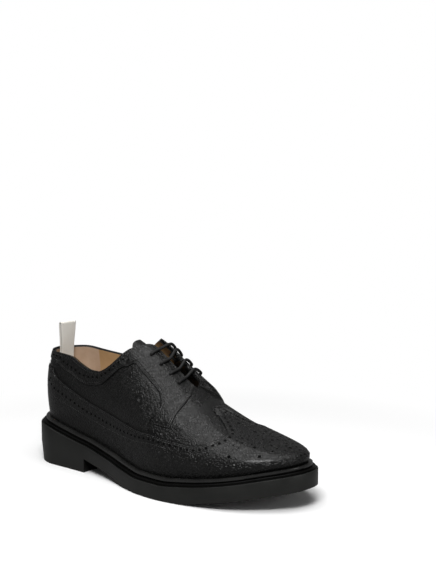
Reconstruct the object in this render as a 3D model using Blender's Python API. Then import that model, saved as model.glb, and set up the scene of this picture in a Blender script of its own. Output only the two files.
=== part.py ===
"""Longwing brogue, a right shoe: hollow upper, tongue, insole, welt, sole unit, lace and pull tab.

Lengths below are millimetres and are turned into metres when a mesh is made. Along a
table's first column, 0 is the back of the heel and 1 is the toe. Lateral is -Y, medial +Y.
"""
import bpy
import bmesh
import math
import numpy as np
from mathutils import Vector

for old in list(bpy.data.objects):
    bpy.data.objects.remove(old, do_unlink=True)

METRE = 0.001

# Sole unit
SOLE_LENGTH = 303.0
SOLE_WIDTH = 110.0
TOE_SWING = 9.8
BACK_ROUND = 36.0
TOE_ROUND = 72.0
SOLE_THICKNESS = 13.2
HEEL_RISE = 23.8
TOE_SPRING = 18.0
ARCH_RISE = 12.9
HEEL_LENGTH = 78.6
HEEL_UNDERCUT = 3.5
HEEL_UNDERCUT_REACH = 40.0
EDGE_BEVEL = 0.8
EDGE_DRAFT = 0.05
SIDE_MIDDLE = 0.40
SIDE_MIDDLE_HEEL = 0.62
TIER_INSET = 2.4
TIER_HEIGHT = 2.3
RECESS_INSET = 5.8
RECESS_HEIGHT = 3.1
GAP = 0.3

# Welt and insole
WELT_INSET = 4.8
WELT_THICKNESS = 2.6
WELT_BEVEL = 0.6
WELT_REACH = 4.4
INSOLE_THICKNESS = 2.5

# Upper
WALL = 2.2
FEATHER_INSET = 9.9
WIDE_INSET = 7.9
CONE_HEIGHT = 150.0
TOE_HEIGHT = 50.3
BULGE_HEIGHT = 26.0
BACK_LEAN = 66.0
TOE_SLOPE = 62.0
COLLAR_HEIGHT = 106.0
COLLAR_LENGTH = 134.0
SPINE_BACK = 50.0
SPINE_BLEND = 9.0
THROAT_END = 177.0
THROAT_LATERAL = 2.5
THROAT_MEDIAL = 5.0
FRONT_EDGE = 195.0
QUARTER_SEAM = 166.0
FACING_FOOT = 9.0
WING_STEP = 0.9
QUARTER_STEP = 0.6
BAND_STEP = 0.8
BAND_WIDTH = 14.5
LATERAL_LIFT = -0.6
MEDIAL_LIFT = 4.2
LIFT_REACH = 38.0
LIFT_RUN = 26.0
LIFT_START = 100.0
LIFT_LENGTH = 35.0
WING_HEIGHT = 49.0
FRONT_BLEND = 15.0
STEP_RUN = 0.6
SLOPE_STEP = 0.5

# Tongue
TONGUE_THICKNESS = 2.0
TONGUE_HALF = 22.0
TONGUE_TOP = 115.0
TONGUE_FOOT = 184.0
TONGUE_DROP = 5.1
TONGUE_SEAT = 1.2
TONGUE_ROUND = 0.22
TONGUE_TIP = 0.35
TONGUE_STEP = 5.0
TONGUE_STEPS = (16, 8)
TIP_POWER = 2.4

# Lace and its holes
LACE_BARS = 4
LACE_RADIUS = 1.2
HOLE_RADIUS = 2.3
HOLE_SIDES = 10
HOLE_FIRST = 140.5
HOLE_SPACING = 11.4
HOLE_CROWDING = 0.75
HOLE_SETBACK = 11.8
HOLE_SETBACK_MEDIAL = 9.0
HOLE_SKEW = 5.0
LACE_CLEARANCE = 0.6
LACE_REST = 0.3

# Pull tab
TAB_WIDTH = 15.5
TAB_HEIGHT = 26.0
TAB_PLY = 1.0
TAB_LOOP = 3.4
TAB_TUCK = 15.0
TAB_OFF_WALL = 1.6
TAB_LEAN = 3.0
TAB_BENDS = 6

WING_ROWS = (0.0, 0.12, 0.32, 0.62)
FIELD_ROWS = 3
EDGE_ROWS = 4
SOLE_COLUMNS = 40
COLUMNS_APART = 0.006
WALL_SAMPLES = 8
PATH_SAMPLES = 240
TINY = 1e-6


def table(names, rows):
    """Named columns of a short table, one row for each section."""
    return dict(zip(names.split(), np.array(rows, float).T))


PLAN = table("along lateral medial", [
    (0.00, 0.325, 0.323), (0.12, 0.330, 0.332), (0.25, 0.338, 0.323), (0.36, 0.378, 0.314),
    (0.46, 0.451, 0.332), (0.54, 0.506, 0.373), (0.62, 0.529, 0.432), (0.70, 0.515, 0.477),
    (0.78, 0.488, 0.485), (0.86, 0.449, 0.464), (0.93, 0.406, 0.427), (1.00, 0.364, 0.373)])

# Top of the sole's side wall: shares of the heel's rise and of the toe spring
RAND = table("along heel toe", [
    (0.000, 1.000, 0.00), (0.092, 0.937, 0.00), (0.132, 0.823, 0.00), (0.211, 0.618, 0.00),
    (0.290, 0.450, 0.00), (0.370, 0.260, 0.00), (0.450, 0.110, 0.00), (0.530, 0.000, 0.00),
    (0.620, 0.000, 0.00), (0.686, 0.000, 0.10), (0.766, 0.000, 0.29), (0.845, 0.000, 0.53),
    (0.924, 0.000, 0.82), (1.000, 0.000, 1.06)])

# Underside between heel and ball, and under the toe
ARCH = table("along rise", [(0.00, 1.00), (0.12, 0.84), (0.26, 0.70), (0.41, 0.53), (0.56, 0.37),
                            (0.71, 0.20), (0.86, 0.07), (1.00, 0.00)])
ARCH_END = 0.525
SPRING = table("along rise", [(0.00, 0.00), (0.09, 0.03), (0.20, 0.14), (0.31, 0.25),
                              (0.55, 0.49), (0.78, 0.75), (0.90, 0.88), (1.00, 1.00)])
SPRING_START = 0.66

# Upper's sections: height of the widest line over the welt, ridge height, ridge shift, corner
SECTION = table("along bulge ridge shift corner", [
    (0.00, 1.00, 0.960, 0.00, 2.6), (0.12, 1.00, 1.000, 0.00, 2.6),
    (0.25, 0.92, 0.940, 0.12, 2.5), (0.35, 0.85, 0.830, 0.31, 2.4),
    (0.45, 0.73, 0.690, 0.44, 2.3), (0.55, 0.58, 0.490, 0.50, 2.2),
    (0.63, 0.46, 0.330, 0.50, 2.2), (0.70, 0.40, 0.210, 0.56, 2.3),
    (0.78, 0.33, 0.105, 0.69, 2.4), (0.86, 0.27, 0.045, 0.81, 2.4),
    (0.93, 0.23, 0.015, 0.94, 2.4), (1.00, 0.19, 0.000, 1.00, 2.4)])
RIDGE_SHIFT = 8.0

# Collar: heights as shares of its height at the back, along its length to the facings' top
COLLAR = table("along lateral medial", [
    (0.00, 0.995, 0.985), (0.12, 1.000, 0.985), (0.24, 0.998, 0.970), (0.37, 0.985, 0.960),
    (0.47, 0.935, 0.956), (0.58, 0.900, 0.950), (0.65, 0.900, 0.948), (0.71, 0.926, 0.955),
    (0.78, 0.985, 0.990), (0.84, 1.058, 1.060), (0.89, 1.118, 1.115), (0.95, 1.145, 1.145),
    (1.00, 1.165, 1.165)])

# Wing's upper edge, round the outline from heel to toe: share of its height at the back, measured
# up the wall from the welt. It dips, climbs the toe's side in a lobe and peaks in the middle.
WING = table("along height", [
    (0.000, 1.00), (0.160, 1.00), (0.219, 0.87), (0.278, 0.79), (0.349, 0.71), (0.528, 0.72),
    (0.556, 0.71), (0.596, 0.67), (0.660, 0.59), (0.732, 0.75), (0.772, 0.91), (0.800, 1.06),
    (0.820, 1.28), (0.840, 1.60), (0.860, 1.82), (0.900, 1.95), (1.000, 2.03)])

# Columns of the upper's mesh: how many up to each place round the outline
SPANS = table("along columns", [(0.20, 8), (0.33, 4), (0.56, 14), (0.70, 5), (1.00, 12)])

# Collar band and eyestay: width below the collar's and the throat's edge, as shares of the band's
BAND = table("along width", [
    (0.00, 0.76), (0.13, 0.80), (0.17, 1.05), (0.25, 1.00), (0.33, 0.95), (0.39, 1.09),
    (0.414, 1.68), (0.445, 2.30), (0.464, 2.12), (0.488, 2.23), (0.532, 2.32), (0.558, 2.45),
    (0.570, 2.95), (0.583, 4.10)])


def smooth(rows, column, at):
    """Monotone cubic through one column of a table."""
    knots, values = rows["along"], rows[column]
    at = np.clip(np.asarray(at, float), knots[0], knots[-1])
    span = np.diff(knots)
    rise = np.diff(values) / span
    slope = np.zeros_like(values)
    both = rise[1:] * rise[:-1]
    total = rise[1:] + rise[:-1]
    slope[1:-1] = np.where(both > 0, 2 * both / np.where(total == 0, 1, total), 0)
    slope[0], slope[-1] = rise[0], rise[-1]
    cell = np.clip(np.searchsorted(knots, at, side="right") - 1, 0, len(span) - 1)
    t = (at - knots[cell]) / span[cell]
    return ((2 * t**3 - 3 * t**2 + 1) * values[cell] + (t**3 - 2 * t**2 + t) * span[cell] * slope[cell]
            + (3 * t**2 - 2 * t**3) * values[cell + 1] + (t**3 - t**2) * span[cell] * slope[cell + 1])


def ease(t):
    """0 to 1 with level ends."""
    t = np.clip(t, 0, 1)
    return t * t * (3 - 2 * t)


def end_round(x, inset, back, toe, back_power, toe_power):
    """1 along the middle, falling to 0 at both ends of the outline at this inset."""
    u = np.clip((back - x) / (back - inset), 0, 1)
    v = np.clip((x - (SOLE_LENGTH - toe)) / (toe - inset), 0, 1)
    return (1 - u**back_power) ** (1 / back_power) * (1 - v**toe_power) ** (1 / toe_power)


def plan_round(x, inset):
    return end_round(x, inset, BACK_ROUND, TOE_ROUND, 2.1, 2.2)


def swing(x):
    """Centre line's bend towards the inside of the foot."""
    return TOE_SWING * np.clip((x / SOLE_LENGTH - 0.45) / 0.55, 0, 1) ** 1.5


def half_width(x, side, inset):
    column = "lateral" if side < 0 else "medial"
    return (smooth(PLAN, column, x / SOLE_LENGTH) * SOLE_WIDTH - inset) * plan_round(x, inset)


def turn_of(x, inset=0.0):
    """Place round the lateral outline, 0 heel to 1 toe, that lies at this length."""
    return math.acos(1 - 2 * (x - inset) / (SOLE_LENGTH - 2 * inset)) / math.pi


def outline(turn, inset):
    """Plan point: turn 0 to 1 runs heel to toe on the lateral side, 1 to 2 back on the medial."""
    side = -1 if turn <= 1 else 1
    tau = turn if turn <= 1 else 2 - turn
    x = inset + (SOLE_LENGTH - 2 * inset) * (1 - math.cos(math.pi * tau)) / 2
    return x, float(swing(x) + side * half_width(x, side, inset))


def wall_top(x):
    share = x / SOLE_LENGTH
    return SOLE_THICKNESS + HEEL_RISE * smooth(RAND, "heel", share) + TOE_SPRING * smooth(RAND, "toe", share)


def sole_bottom(x):
    """Underside in front of the heel: arch, flat ball and toe spring."""
    share = x / SOLE_LENGTH
    breast = HEEL_LENGTH / SOLE_LENGTH
    arch = smooth(ARCH, "rise", (share - breast) / (ARCH_END - breast))
    spring = smooth(SPRING, "rise", (share - SPRING_START) / (1 - SPRING_START))
    return ARCH_RISE * arch + TOE_SPRING * spring


def welt_bottom(x):
    return wall_top(x) + RECESS_HEIGHT + GAP


def welt_top(x):
    return welt_bottom(x) + WELT_THICKNESS


def upper_foot(x):
    return welt_top(x) + GAP


def along_upper(x):
    return (x - WIDE_INSET) / (SOLE_LENGTH - 2 * WIDE_INSET)


def wide_height(x):
    return upper_foot(x) + BULGE_HEIGHT * smooth(SECTION, "bulge", along_upper(x))


def ridge_line(x):
    """Plan place of the last's ridge."""
    shift = RIDGE_SHIFT * smooth(SECTION, "shift", along_upper(x))
    return swing(x) + (shift - swing(x)) * plan_round(x, WIDE_INSET)


def last_height(x, y):
    """Top of the last over a plan point, inside its widest line."""
    share = along_upper(x)
    middle = ridge_line(x)
    low = wide_height(x)
    ridge = TOE_HEIGHT + (CONE_HEIGHT - TOE_HEIGHT) * smooth(SECTION, "ridge", share)
    rise = (ridge - low) * end_round(x, WIDE_INSET, BACK_LEAN, TOE_SLOPE, 2.0, 2.3)
    lateral = middle - (swing(x) - half_width(x, -1, WIDE_INSET))
    medial = swing(x) + half_width(x, 1, WIDE_INSET) - middle
    reach = np.maximum(np.where(y < middle, lateral, medial), TINY)
    across = np.clip(np.abs(y - middle) / reach, 0, 1)
    corner = smooth(SECTION, "corner", share)
    return low + rise * np.sqrt(np.clip(1 - across**corner, 0, 1))


def soft_limit(x, low, high, blend=SPINE_BLEND):
    """Keeps x between low and high, with rounded corners."""
    raised = low + blend * np.log1p(np.exp((x - low) / blend))
    return high - blend * np.log1p(np.exp((high - raised) / blend))


def turns(side, extra, apart):
    """Places round the whole outline from those of one side, with the named ones hit exactly."""
    for place in extra:
        side = [t for t in side if abs(t - place) > apart or t in (0.0, 1.0)]
    side = sorted(side + list(extra))
    return side + [2 - t for t in reversed(side[1:-1])]


def sole_turns(extra):
    return turns([k / SOLE_COLUMNS for k in range(SOLE_COLUMNS + 1)], extra, 0.4 / SOLE_COLUMNS)


def upper_turns(extra):
    side, start = [0.0], 0.0
    for end, count in zip(SPANS["along"], SPANS["columns"]):
        side += [start + (end - start) * (k + 1) / count for k in range(int(count))]
        start = end
    return turns(side, extra, COLUMNS_APART)


def material(name, color, roughness, metallic=0.0):
    made = bpy.data.materials.new(name)
    made.use_nodes = True
    shader = made.node_tree.nodes["Principled BSDF"]
    shader.inputs["Base Color"].default_value = (*color, 1.0)
    shader.inputs["Roughness"].default_value = roughness
    shader.inputs["Metallic"].default_value = metallic
    return made


def solid(name, points, faces, surface):
    """Named object from millimetre points."""
    mesh = bpy.data.meshes.new(name)
    mesh.from_pydata([tuple(float(v) * METRE for v in p) for p in points], [], faces)
    work = bmesh.new()
    work.from_mesh(mesh)
    bmesh.ops.triangulate(work, faces=work.faces)
    bmesh.ops.recalc_face_normals(work, faces=work.faces)
    work.to_mesh(mesh)
    work.free()
    mesh.materials.append(surface)
    mesh.shade_smooth()
    mesh.set_sharp_from_angle(angle=math.radians(40))
    made = bpy.data.objects.new(name, mesh)
    bpy.context.collection.objects.link(made)
    return made


def loop_band(faces, lower, upper):
    """Quads between two closed loops of equal count."""
    count = len(lower)
    for k in range(count):
        after = (k + 1) % count
        faces.append((lower[k], lower[after], upper[after], upper[k]))


def rungs(faces, loop):
    """Fills a loop across, each point joined to its mirror."""
    count = len(loop)
    half = count // 2
    for k in range(half):
        ring = [loop[k], loop[k + 1], loop[(count - k - 1) % count], loop[(count - k) % count]]
        kept = [v for n, v in enumerate(ring) if v not in ring[:n]]
        faces.append(tuple(kept))


def ring(points, places, inset, height):
    """Adds one loop of the outline at an inset, its height worked out from x."""
    start = len(points)
    for place in places:
        x, y = outline(place, inset(place) if callable(inset) else inset)
        points.append((x, y, float(height(x))))
    return list(range(start, len(points)))


rubber = material("black_rubber", (0.020, 0.021, 0.019), 0.45)
welt_leather = material("welt_leather", (0.018, 0.018, 0.017), 0.42)
upper_leather = material("upper_leather", (0.016, 0.016, 0.015), 0.38)
tongue_leather = material("tongue_leather", (0.016, 0.016, 0.015), 0.45)
lining_leather = material("lining_leather", (0.30, 0.19, 0.09), 0.60)
lace_cord = material("lace_cord", (0.012, 0.012, 0.012), 0.75)
ribbon = material("tab_ribbon", (0.62, 0.58, 0.50), 0.80)


def under_heel(x):
    return x <= HEEL_LENGTH + TINY


def underside(x):
    return 0.0 if under_heel(x) else float(sole_bottom(x))


def sole_unit():
    """One-piece rubber sole: heel, arch, toe spring, two tiers and the recess under the welt."""
    breast = turn_of(HEEL_LENGTH)
    places = sole_turns([breast])
    lateral = places.index(breast)
    medial = len(places) - lateral

    def under_inset(place):
        x = outline(place, 0.0)[0]
        return HEEL_UNDERCUT * max(0.0, 1 - x / HEEL_UNDERCUT_REACH) ** 2

    def middle(x):
        share = SIDE_MIDDLE_HEEL if under_heel(x) else SIDE_MIDDLE
        return underside(x) + (wall_top(x) - underside(x)) * share

    def arch_or_low(k, corner):
        return arch[corner] if corner in arch and k >= lateral else low[corner]

    points, faces = [], []
    low = ring(points, places, under_inset, underside)
    loops = [ring(points, places, 0.0, middle)]
    inner = FEATHER_INSET + WELT_REACH + GAP
    for inset, rise in ((0.0, -EDGE_BEVEL), (EDGE_BEVEL, 0.0), (TIER_INSET, 0.0),
                        (TIER_INSET + 2 * EDGE_DRAFT, TIER_HEIGHT), (RECESS_INSET, TIER_HEIGHT + EDGE_DRAFT),
                        (RECESS_INSET + EDGE_DRAFT, RECESS_HEIGHT), (inner, RECESS_HEIGHT),
                        (inner + EDGE_DRAFT, RECESS_HEIGHT + WELT_THICKNESS)):
        loops.append(ring(points, places, inset, lambda x, rise=rise: wall_top(x) + rise))
    for below, above in zip(loops, loops[1:]):
        loop_band(faces, below, above)
    rungs(faces, loops[-1])

    # The breast: the heel's front face, between the floor and the arch
    arch = {}
    for corner in (lateral, medial):
        x, y, _ = points[low[corner]]
        arch[corner] = len(points)
        points.append((x, y, float(sole_bottom(x))))
    count = len(places)
    for k in range(count):
        after = (k + 1) % count
        if after == lateral:
            faces.append((low[k], low[after], arch[lateral], loops[0][after], loops[0][k]))
        elif k == lateral:
            faces.append((arch[lateral], low[after], loops[0][after], loops[0][k]))
        elif after == medial:
            faces.append((low[k], arch[medial], loops[0][after], loops[0][k]))
        elif k == medial:
            faces.append((arch[medial], low[k], low[after], loops[0][after], loops[0][k]))
        else:
            faces.append((low[k], low[after], loops[0][after], loops[0][k]))
    faces.append((low[lateral], low[medial], arch[medial], arch[lateral]))
    for k in range(count // 2):
        near, far = k, (count - k) % count
        near_next, far_next = k + 1, (count - k - 1) % count
        quad = [arch_or_low(k, n) for n in (near, near_next, far_next, far)]
        faces.append(tuple(v for n, v in enumerate(quad) if v not in quad[:n]))
    return solid("outsole", points, faces, rubber)


def welt():
    """Flat strip all round, wider than the upper, its top edge eased."""
    places = sole_turns([])
    points, faces = [], []
    inner = FEATHER_INSET + WELT_REACH
    loops = [ring(points, places, inner, welt_bottom),
             ring(points, places, WELT_INSET, welt_bottom),
             ring(points, places, WELT_INSET, lambda x: welt_top(x) - WELT_BEVEL),
             ring(points, places, WELT_INSET + WELT_BEVEL, welt_top),
             ring(points, places, inner, welt_top)]
    for below, above in zip(loops, loops[1:] + loops[:1]):
        loop_band(faces, below, above)
    return solid("welt", points, faces, welt_leather)


def insole():
    """Footbed sheet inside the upper, on the welt and the sole unit."""
    places = sole_turns([])
    points, faces = [], []
    edge = FEATHER_INSET + WALL + 2 * GAP
    lower = ring(points, places, edge, upper_foot)
    upper = ring(points, places, edge, lambda x: upper_foot(x) + INSOLE_THICKNESS)
    loop_band(faces, lower, upper)
    rungs(faces, lower)
    rungs(faces, upper)
    return solid("insole", points, faces, lining_leather)


def collar_height(x, side):
    """Height of the collar's edge; beyond the facings' top corner nothing limits it."""
    start = WIDE_INSET
    share = (x - start) / (COLLAR_LENGTH - start)
    height = COLLAR_HEIGHT * smooth(COLLAR, "lateral" if side < 0 else "medial", share)
    return np.where(share > 1.02, 10 * CONE_HEIGHT, height)


def last_path(place):
    """Points from the welt up the wall and over the last to its spine, before any opening."""
    x_foot, y_foot = outline(place, FEATHER_INSET)
    x_wide, y_wide = outline(place, WIDE_INSET)
    foot, wide = float(upper_foot(x_foot)), float(wide_height(x_wide))
    wall = []
    for k in range(WALL_SAMPLES):
        t = k / WALL_SAMPLES
        bow = math.sin(t * math.pi / 2)
        wall.append((x_foot + (x_wide - x_foot) * bow, y_foot + (y_wide - y_foot) * bow,
                     foot + (wide - foot) * t))
    x_spine = float(soft_limit(x_wide, SPINE_BACK, THROAT_END))
    y_spine = float(ridge_line(x_spine))
    t = np.linspace(0, 1, PATH_SAMPLES) ** 3
    x = x_wide + (x_spine - x_wide) * t
    y = y_wide + (y_spine - y_wide) * t
    z = last_height(x, y)
    z[0] = wide
    path = np.concatenate([np.array(wall), np.stack([x, y, z], -1)])
    return path, len(wall), np.array([x_spine, y_spine])


def open_path(place):
    """The path cut at the collar or the throat, with its running length."""
    path, wide_row, spine = last_path(place)
    side = -1 if place <= 1 else 1
    half = THROAT_LATERAL if side < 0 else THROAT_MEDIAL
    near = np.hypot(path[:, 0] - spine[0], path[:, 1] - spine[1]) - half
    over = collar_height(path[:, 0], side) - path[:, 2]
    over[:wide_row] = 1.0
    left = np.minimum(near, over)
    cut = int(np.argmax(left <= 0))
    t = left[cut - 1] / (left[cut - 1] - left[cut])
    end = path[cut - 1] + (path[cut] - path[cut - 1]) * t
    path = np.vstack([path[:cut], end])
    run = np.concatenate([[0], np.cumsum(np.linalg.norm(np.diff(path, axis=0), axis=1))])
    return path, run, run[wide_row]


def at_run(path, run, where):
    return np.stack([np.interp(where, run, path[:, k]) for k in range(3)], -1)


def tau_of(place):
    return place if place <= 1 else 2 - place


def wing_height(place):
    """Running height of the wing's upper edge: along the sides, then the W with its peak."""
    return WING_HEIGHT * float(smooth(WING, "height", tau_of(place)))


def front_place():
    return turn_of(FRONT_EDGE, WIDE_INSET)


def seam_place():
    return turn_of(QUARTER_SEAM, WIDE_INSET)


def marks(place, run_end):
    """Running heights of the wing's edge, the facing's foot and the band's lower edge."""
    x = outline(place, WIDE_INSET)[0]
    wing = wing_height(place)
    facing = seam_place() < tau_of(place) < front_place()
    band = run_end - BAND_WIDTH * float(smooth(BAND, "width", x / SOLE_LENGTH))
    if tau_of(place) > front_place():
        band = run_end - 0.5 * BAND_WIDTH
    foot = wing + FACING_FOOT if facing else wing + 0.4 * (band - wing)
    return wing, foot, max(band, foot + 4 * STEP_RUN)


def lift(place, run_end, where, inside):
    """How far the facings stand off the last, where the tongue and lace lie under them."""
    tau = tau_of(place)
    ahead = front_place() - tau
    if ahead <= 0:
        return 0.0
    x = outline(place, WIDE_INSET)[0]
    full = LATERAL_LIFT if place <= 1 else MEDIAL_LIFT
    amount = full * float(ease((where - run_end + LIFT_REACH) / LIFT_RUN) * ease((x - LIFT_START) / LIFT_LENGTH))
    return amount * float(ease(ahead * SOLE_LENGTH / FRONT_BLEND)) if inside else amount


def overlay(place, run_end, where):
    """Thickness of the panels laid over the base leather."""
    tau = tau_of(place)
    wing, foot, band = marks(place, run_end)
    behind = float(ease((front_place() - tau) * SOLE_LENGTH / FRONT_BLEND))
    if where < wing:
        return WING_STEP + QUARTER_STEP * behind
    if tau >= front_place() or (tau > seam_place() and where < foot):
        return 0.0
    return QUARTER_STEP + (BAND_STEP if where > band else 0.0)


def upper():
    """Hollow upper: one wall round the last, open at the collar and throat and underneath."""
    half_step = STEP_RUN / 2
    turn_step = STEP_RUN / SOLE_LENGTH
    extra = [p + d for p in (seam_place(), front_place()) for d in (-turn_step / 2, turn_step / 2)]
    places = upper_turns(extra)
    base, raised, sunk = [], [], []
    for place in places:
        path, run, wide = open_path(place)
        end = run[-1]
        wing, foot, band = marks(place, end)
        stops = [0.0, 0.5 * wide] + [wide + (wing - wide) * share for share in WING_ROWS]
        stops += [wing - half_step, wing + half_step, foot - half_step, foot + half_step]
        stops += [foot + (band - foot) * k / (FIELD_ROWS + 1) for k in range(1, FIELD_ROWS + 1)]
        stops += [band - half_step, band + half_step]
        stops += [band + half_step + (end - band - half_step) * k / EDGE_ROWS for k in range(1, EDGE_ROWS + 1)]
        stops = np.array(stops)
        base.append(at_run(path, run, stops))
        raised.append([lift(place, end, r, False) + overlay(place, end, r) for r in stops])
        sunk.append([lift(place, end, r, True) - WALL for r in stops])
    base, raised, sunk = np.array(base), np.array(raised), np.array(sunk)

    around = np.roll(base, -1, axis=0) - np.roll(base, 1, axis=0)
    upward = np.gradient(base, axis=1)
    normal = np.cross(around, upward)
    normal /= np.linalg.norm(normal, axis=2, keepdims=True)
    normal[:, 0, 2] = 0
    normal[:, 0] /= np.linalg.norm(normal[:, 0], axis=1, keepdims=True)
    outer = base + normal * raised[:, :, None]
    inner = base + normal * sunk[:, :, None]

    columns, rows = base.shape[:2]
    points = [tuple(p) for skin in (outer, inner) for column in skin for p in column]
    faces = []

    def index(skin, c, r):
        return skin * columns * rows + (c % columns) * rows + r

    for c in range(columns):
        for r in range(rows - 1):
            faces.append((index(0, c, r), index(0, c + 1, r), index(0, c + 1, r + 1), index(0, c, r + 1)))
            faces.append((index(1, c, r), index(1, c, r + 1), index(1, c + 1, r + 1), index(1, c + 1, r)))
        for r in (0, rows - 1):
            faces.append((index(0, c, r), index(1, c, r), index(1, c + 1, r), index(0, c + 1, r)))
    made = solid("upper", points, faces, upper_leather)
    cut_holes(made)
    return made


def last_normal(point):
    """Outward direction of the last's top at a point on it."""
    x, y = point[0], point[1]
    step = SLOPE_STEP
    slope_x = (last_height(x + step, y) - last_height(x - step, y)) / (2 * step)
    slope_y = (last_height(x, y + step) - last_height(x, y - step)) / (2 * step)
    normal = np.array([-float(slope_x), -float(slope_y), 1.0])
    return normal / np.linalg.norm(normal)


def facing_point(x, side, setback, rise):
    """Point over the facing at this length: setback from the throat's edge, rise off the last."""
    place = turn_of(x, WIDE_INSET)
    path, run, _ = open_path(place if side < 0 else 2 - place)
    point = at_run(path, run, run[-1] - setback)
    return point + last_normal(point) * rise


def hole_lengths():
    """Places of the lace holes; the columns lean together towards the throat's end."""
    return [HOLE_FIRST + HOLE_SPACING * k + HOLE_CROWDING * k * (k - 1) / 2 for k in range(LACE_BARS)]


def hole_setback(side):
    return HOLE_SETBACK if side < 0 else HOLE_SETBACK_MEDIAL


def hole_length(n, side):
    """Length of one hole; each medial hole but the top one lies nearer the ankle than its lateral partner."""
    return hole_lengths()[n] - (HOLE_SKEW if side > 0 and n > 0 else 0.0)


def cut_holes(body):
    """Plain punched lace holes, drilled square to each facing."""
    for side in (-1, 1):
        for n in range(LACE_BARS):
            x = hole_length(n, side)
            low = facing_point(x, side, hole_setback(side), -3 * WALL)
            high = facing_point(x, side, hole_setback(side), 4 * WALL)
            mesh = bpy.data.meshes.new("drill")
            work = bmesh.new()
            bmesh.ops.create_cone(work, cap_ends=True, segments=HOLE_SIDES, radius1=HOLE_RADIUS * METRE,
                                  radius2=HOLE_RADIUS * METRE, depth=float(np.linalg.norm(high - low)) * METRE)
            work.to_mesh(mesh)
            work.free()
            drill = bpy.data.objects.new(f"drill_{'lateral' if side < 0 else 'medial'}_{n}", mesh)
            bpy.context.collection.objects.link(drill)
            drill.location = (low + high) / 2 * METRE
            drill.rotation_mode = "QUATERNION"
            drill.rotation_quaternion = Vector(high - low).to_track_quat("Z", "Y")
            drill.hide_render = True
            drill.display_type = "WIRE"
            drill.parent = shoe
            cut = body.modifiers.new(drill.name, "BOOLEAN")
            cut.operation = "DIFFERENCE"
            cut.object = drill


def tongue():
    """Curved flap under the facings, joined beneath the vamp, its top end rounded."""
    length_steps, width_steps = TONGUE_STEPS
    top, bottom = [], []
    for k in range(length_steps + 1):
        t = k / length_steps
        x = TONGUE_TOP + (TONGUE_FOOT - TONGUE_TOP) * t
        round_end = (1 - (1 - min(1.0, t / TONGUE_ROUND)) ** TIP_POWER) ** (1 / TIP_POWER)
        half = TONGUE_HALF * (TONGUE_TIP + (1 - TONGUE_TIP) * round_end)
        sunk = float(ease((TONGUE_FOOT - TONGUE_STEP - x) / TONGUE_STEP))
        drop = WALL + TONGUE_SEAT + (TONGUE_DROP - TONGUE_SEAT) * sunk
        for row, depth in ((top, drop), (bottom, drop + TONGUE_THICKNESS)):
            line = []
            for n in range(width_steps + 1):
                y = float(ridge_line(x)) + half * (2 * n / width_steps - 1)
                point = np.array([x, y, float(last_height(x, y))])
                line.append(point - last_normal(point) * depth)
            row.append(line)
    points = [tuple(p) for skin in (top, bottom) for line in skin for p in line]
    wide = width_steps + 1
    faces = []

    def index(skin, k, n):
        return skin * (length_steps + 1) * wide + k * wide + n

    for k in range(length_steps):
        for n in range(width_steps):
            faces.append((index(0, k, n), index(0, k + 1, n), index(0, k + 1, n + 1), index(0, k, n + 1)))
            faces.append((index(1, k, n), index(1, k, n + 1), index(1, k + 1, n + 1), index(1, k + 1, n)))
        for n in (0, width_steps):
            faces.append((index(0, k, n), index(1, k, n), index(1, k + 1, n), index(0, k + 1, n)))
    for n in range(width_steps):
        for k in (0, length_steps):
            faces.append((index(0, k, n), index(0, k, n + 1), index(1, k, n + 1), index(1, k, n)))
    return solid("tongue", points, faces, tongue_leather)


def smooth_route(stops, steps):
    """Catmull-Rom curve through the stops, read at even steps."""
    stops = [2 * stops[0] - stops[1]] + stops + [2 * stops[-1] - stops[-2]]
    route = []
    for a, b, c, d in zip(stops, stops[1:], stops[2:], stops[3:]):
        for k in range(steps):
            t = k / steps
            route.append(0.5 * (2 * b + (c - a) * t + (2 * a - 5 * b + 4 * c - d) * t**2
                                + (3 * b - a - 3 * c + d) * t**3))
    return route + [stops[-2]]


def lace():
    """Straight bars over the throat, joined by runs between facing and tongue, as one cord."""
    stops = []
    for n in range(LACE_BARS):
        sides = (-1, 1) if n % 2 == 0 else (1, -1)
        for turn, side in enumerate(sides):
            x = hole_length(n, side)
            full = LATERAL_LIFT if side < 0 else MEDIAL_LIFT
            over = full + QUARTER_STEP + BAND_STEP + LACE_RADIUS + LACE_REST
            under = full - WALL - LACE_RADIUS - 1.5 * LACE_CLEARANCE
            setback = hole_setback(side)
            climb = [facing_point(x, side, setback, under),
                     facing_point(x, side, setback, full - WALL - GAP),
                     facing_point(x, side, setback, full),
                     facing_point(x, side, setback - 0.3 * HOLE_RADIUS, over),
                     facing_point(x, side, 0.5, over + LACE_REST)]
            stops += climb if turn == 0 else climb[::-1]
    curve = bpy.data.curves.new("lace", "CURVE")
    curve.dimensions = "3D"
    curve.bevel_depth = LACE_RADIUS * METRE
    curve.bevel_resolution = 2
    curve.use_fill_caps = True
    route = smooth_route(stops, 2)
    line = curve.splines.new("POLY")
    line.points.add(len(route) - 1)
    for spot, place in zip(line.points, route):
        spot.co = (*(float(v) * METRE for v in place), 1.0)
    curve.materials.append(lace_cord)
    made = bpy.data.objects.new("lace", curve)
    bpy.context.collection.objects.link(made)
    return made


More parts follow.
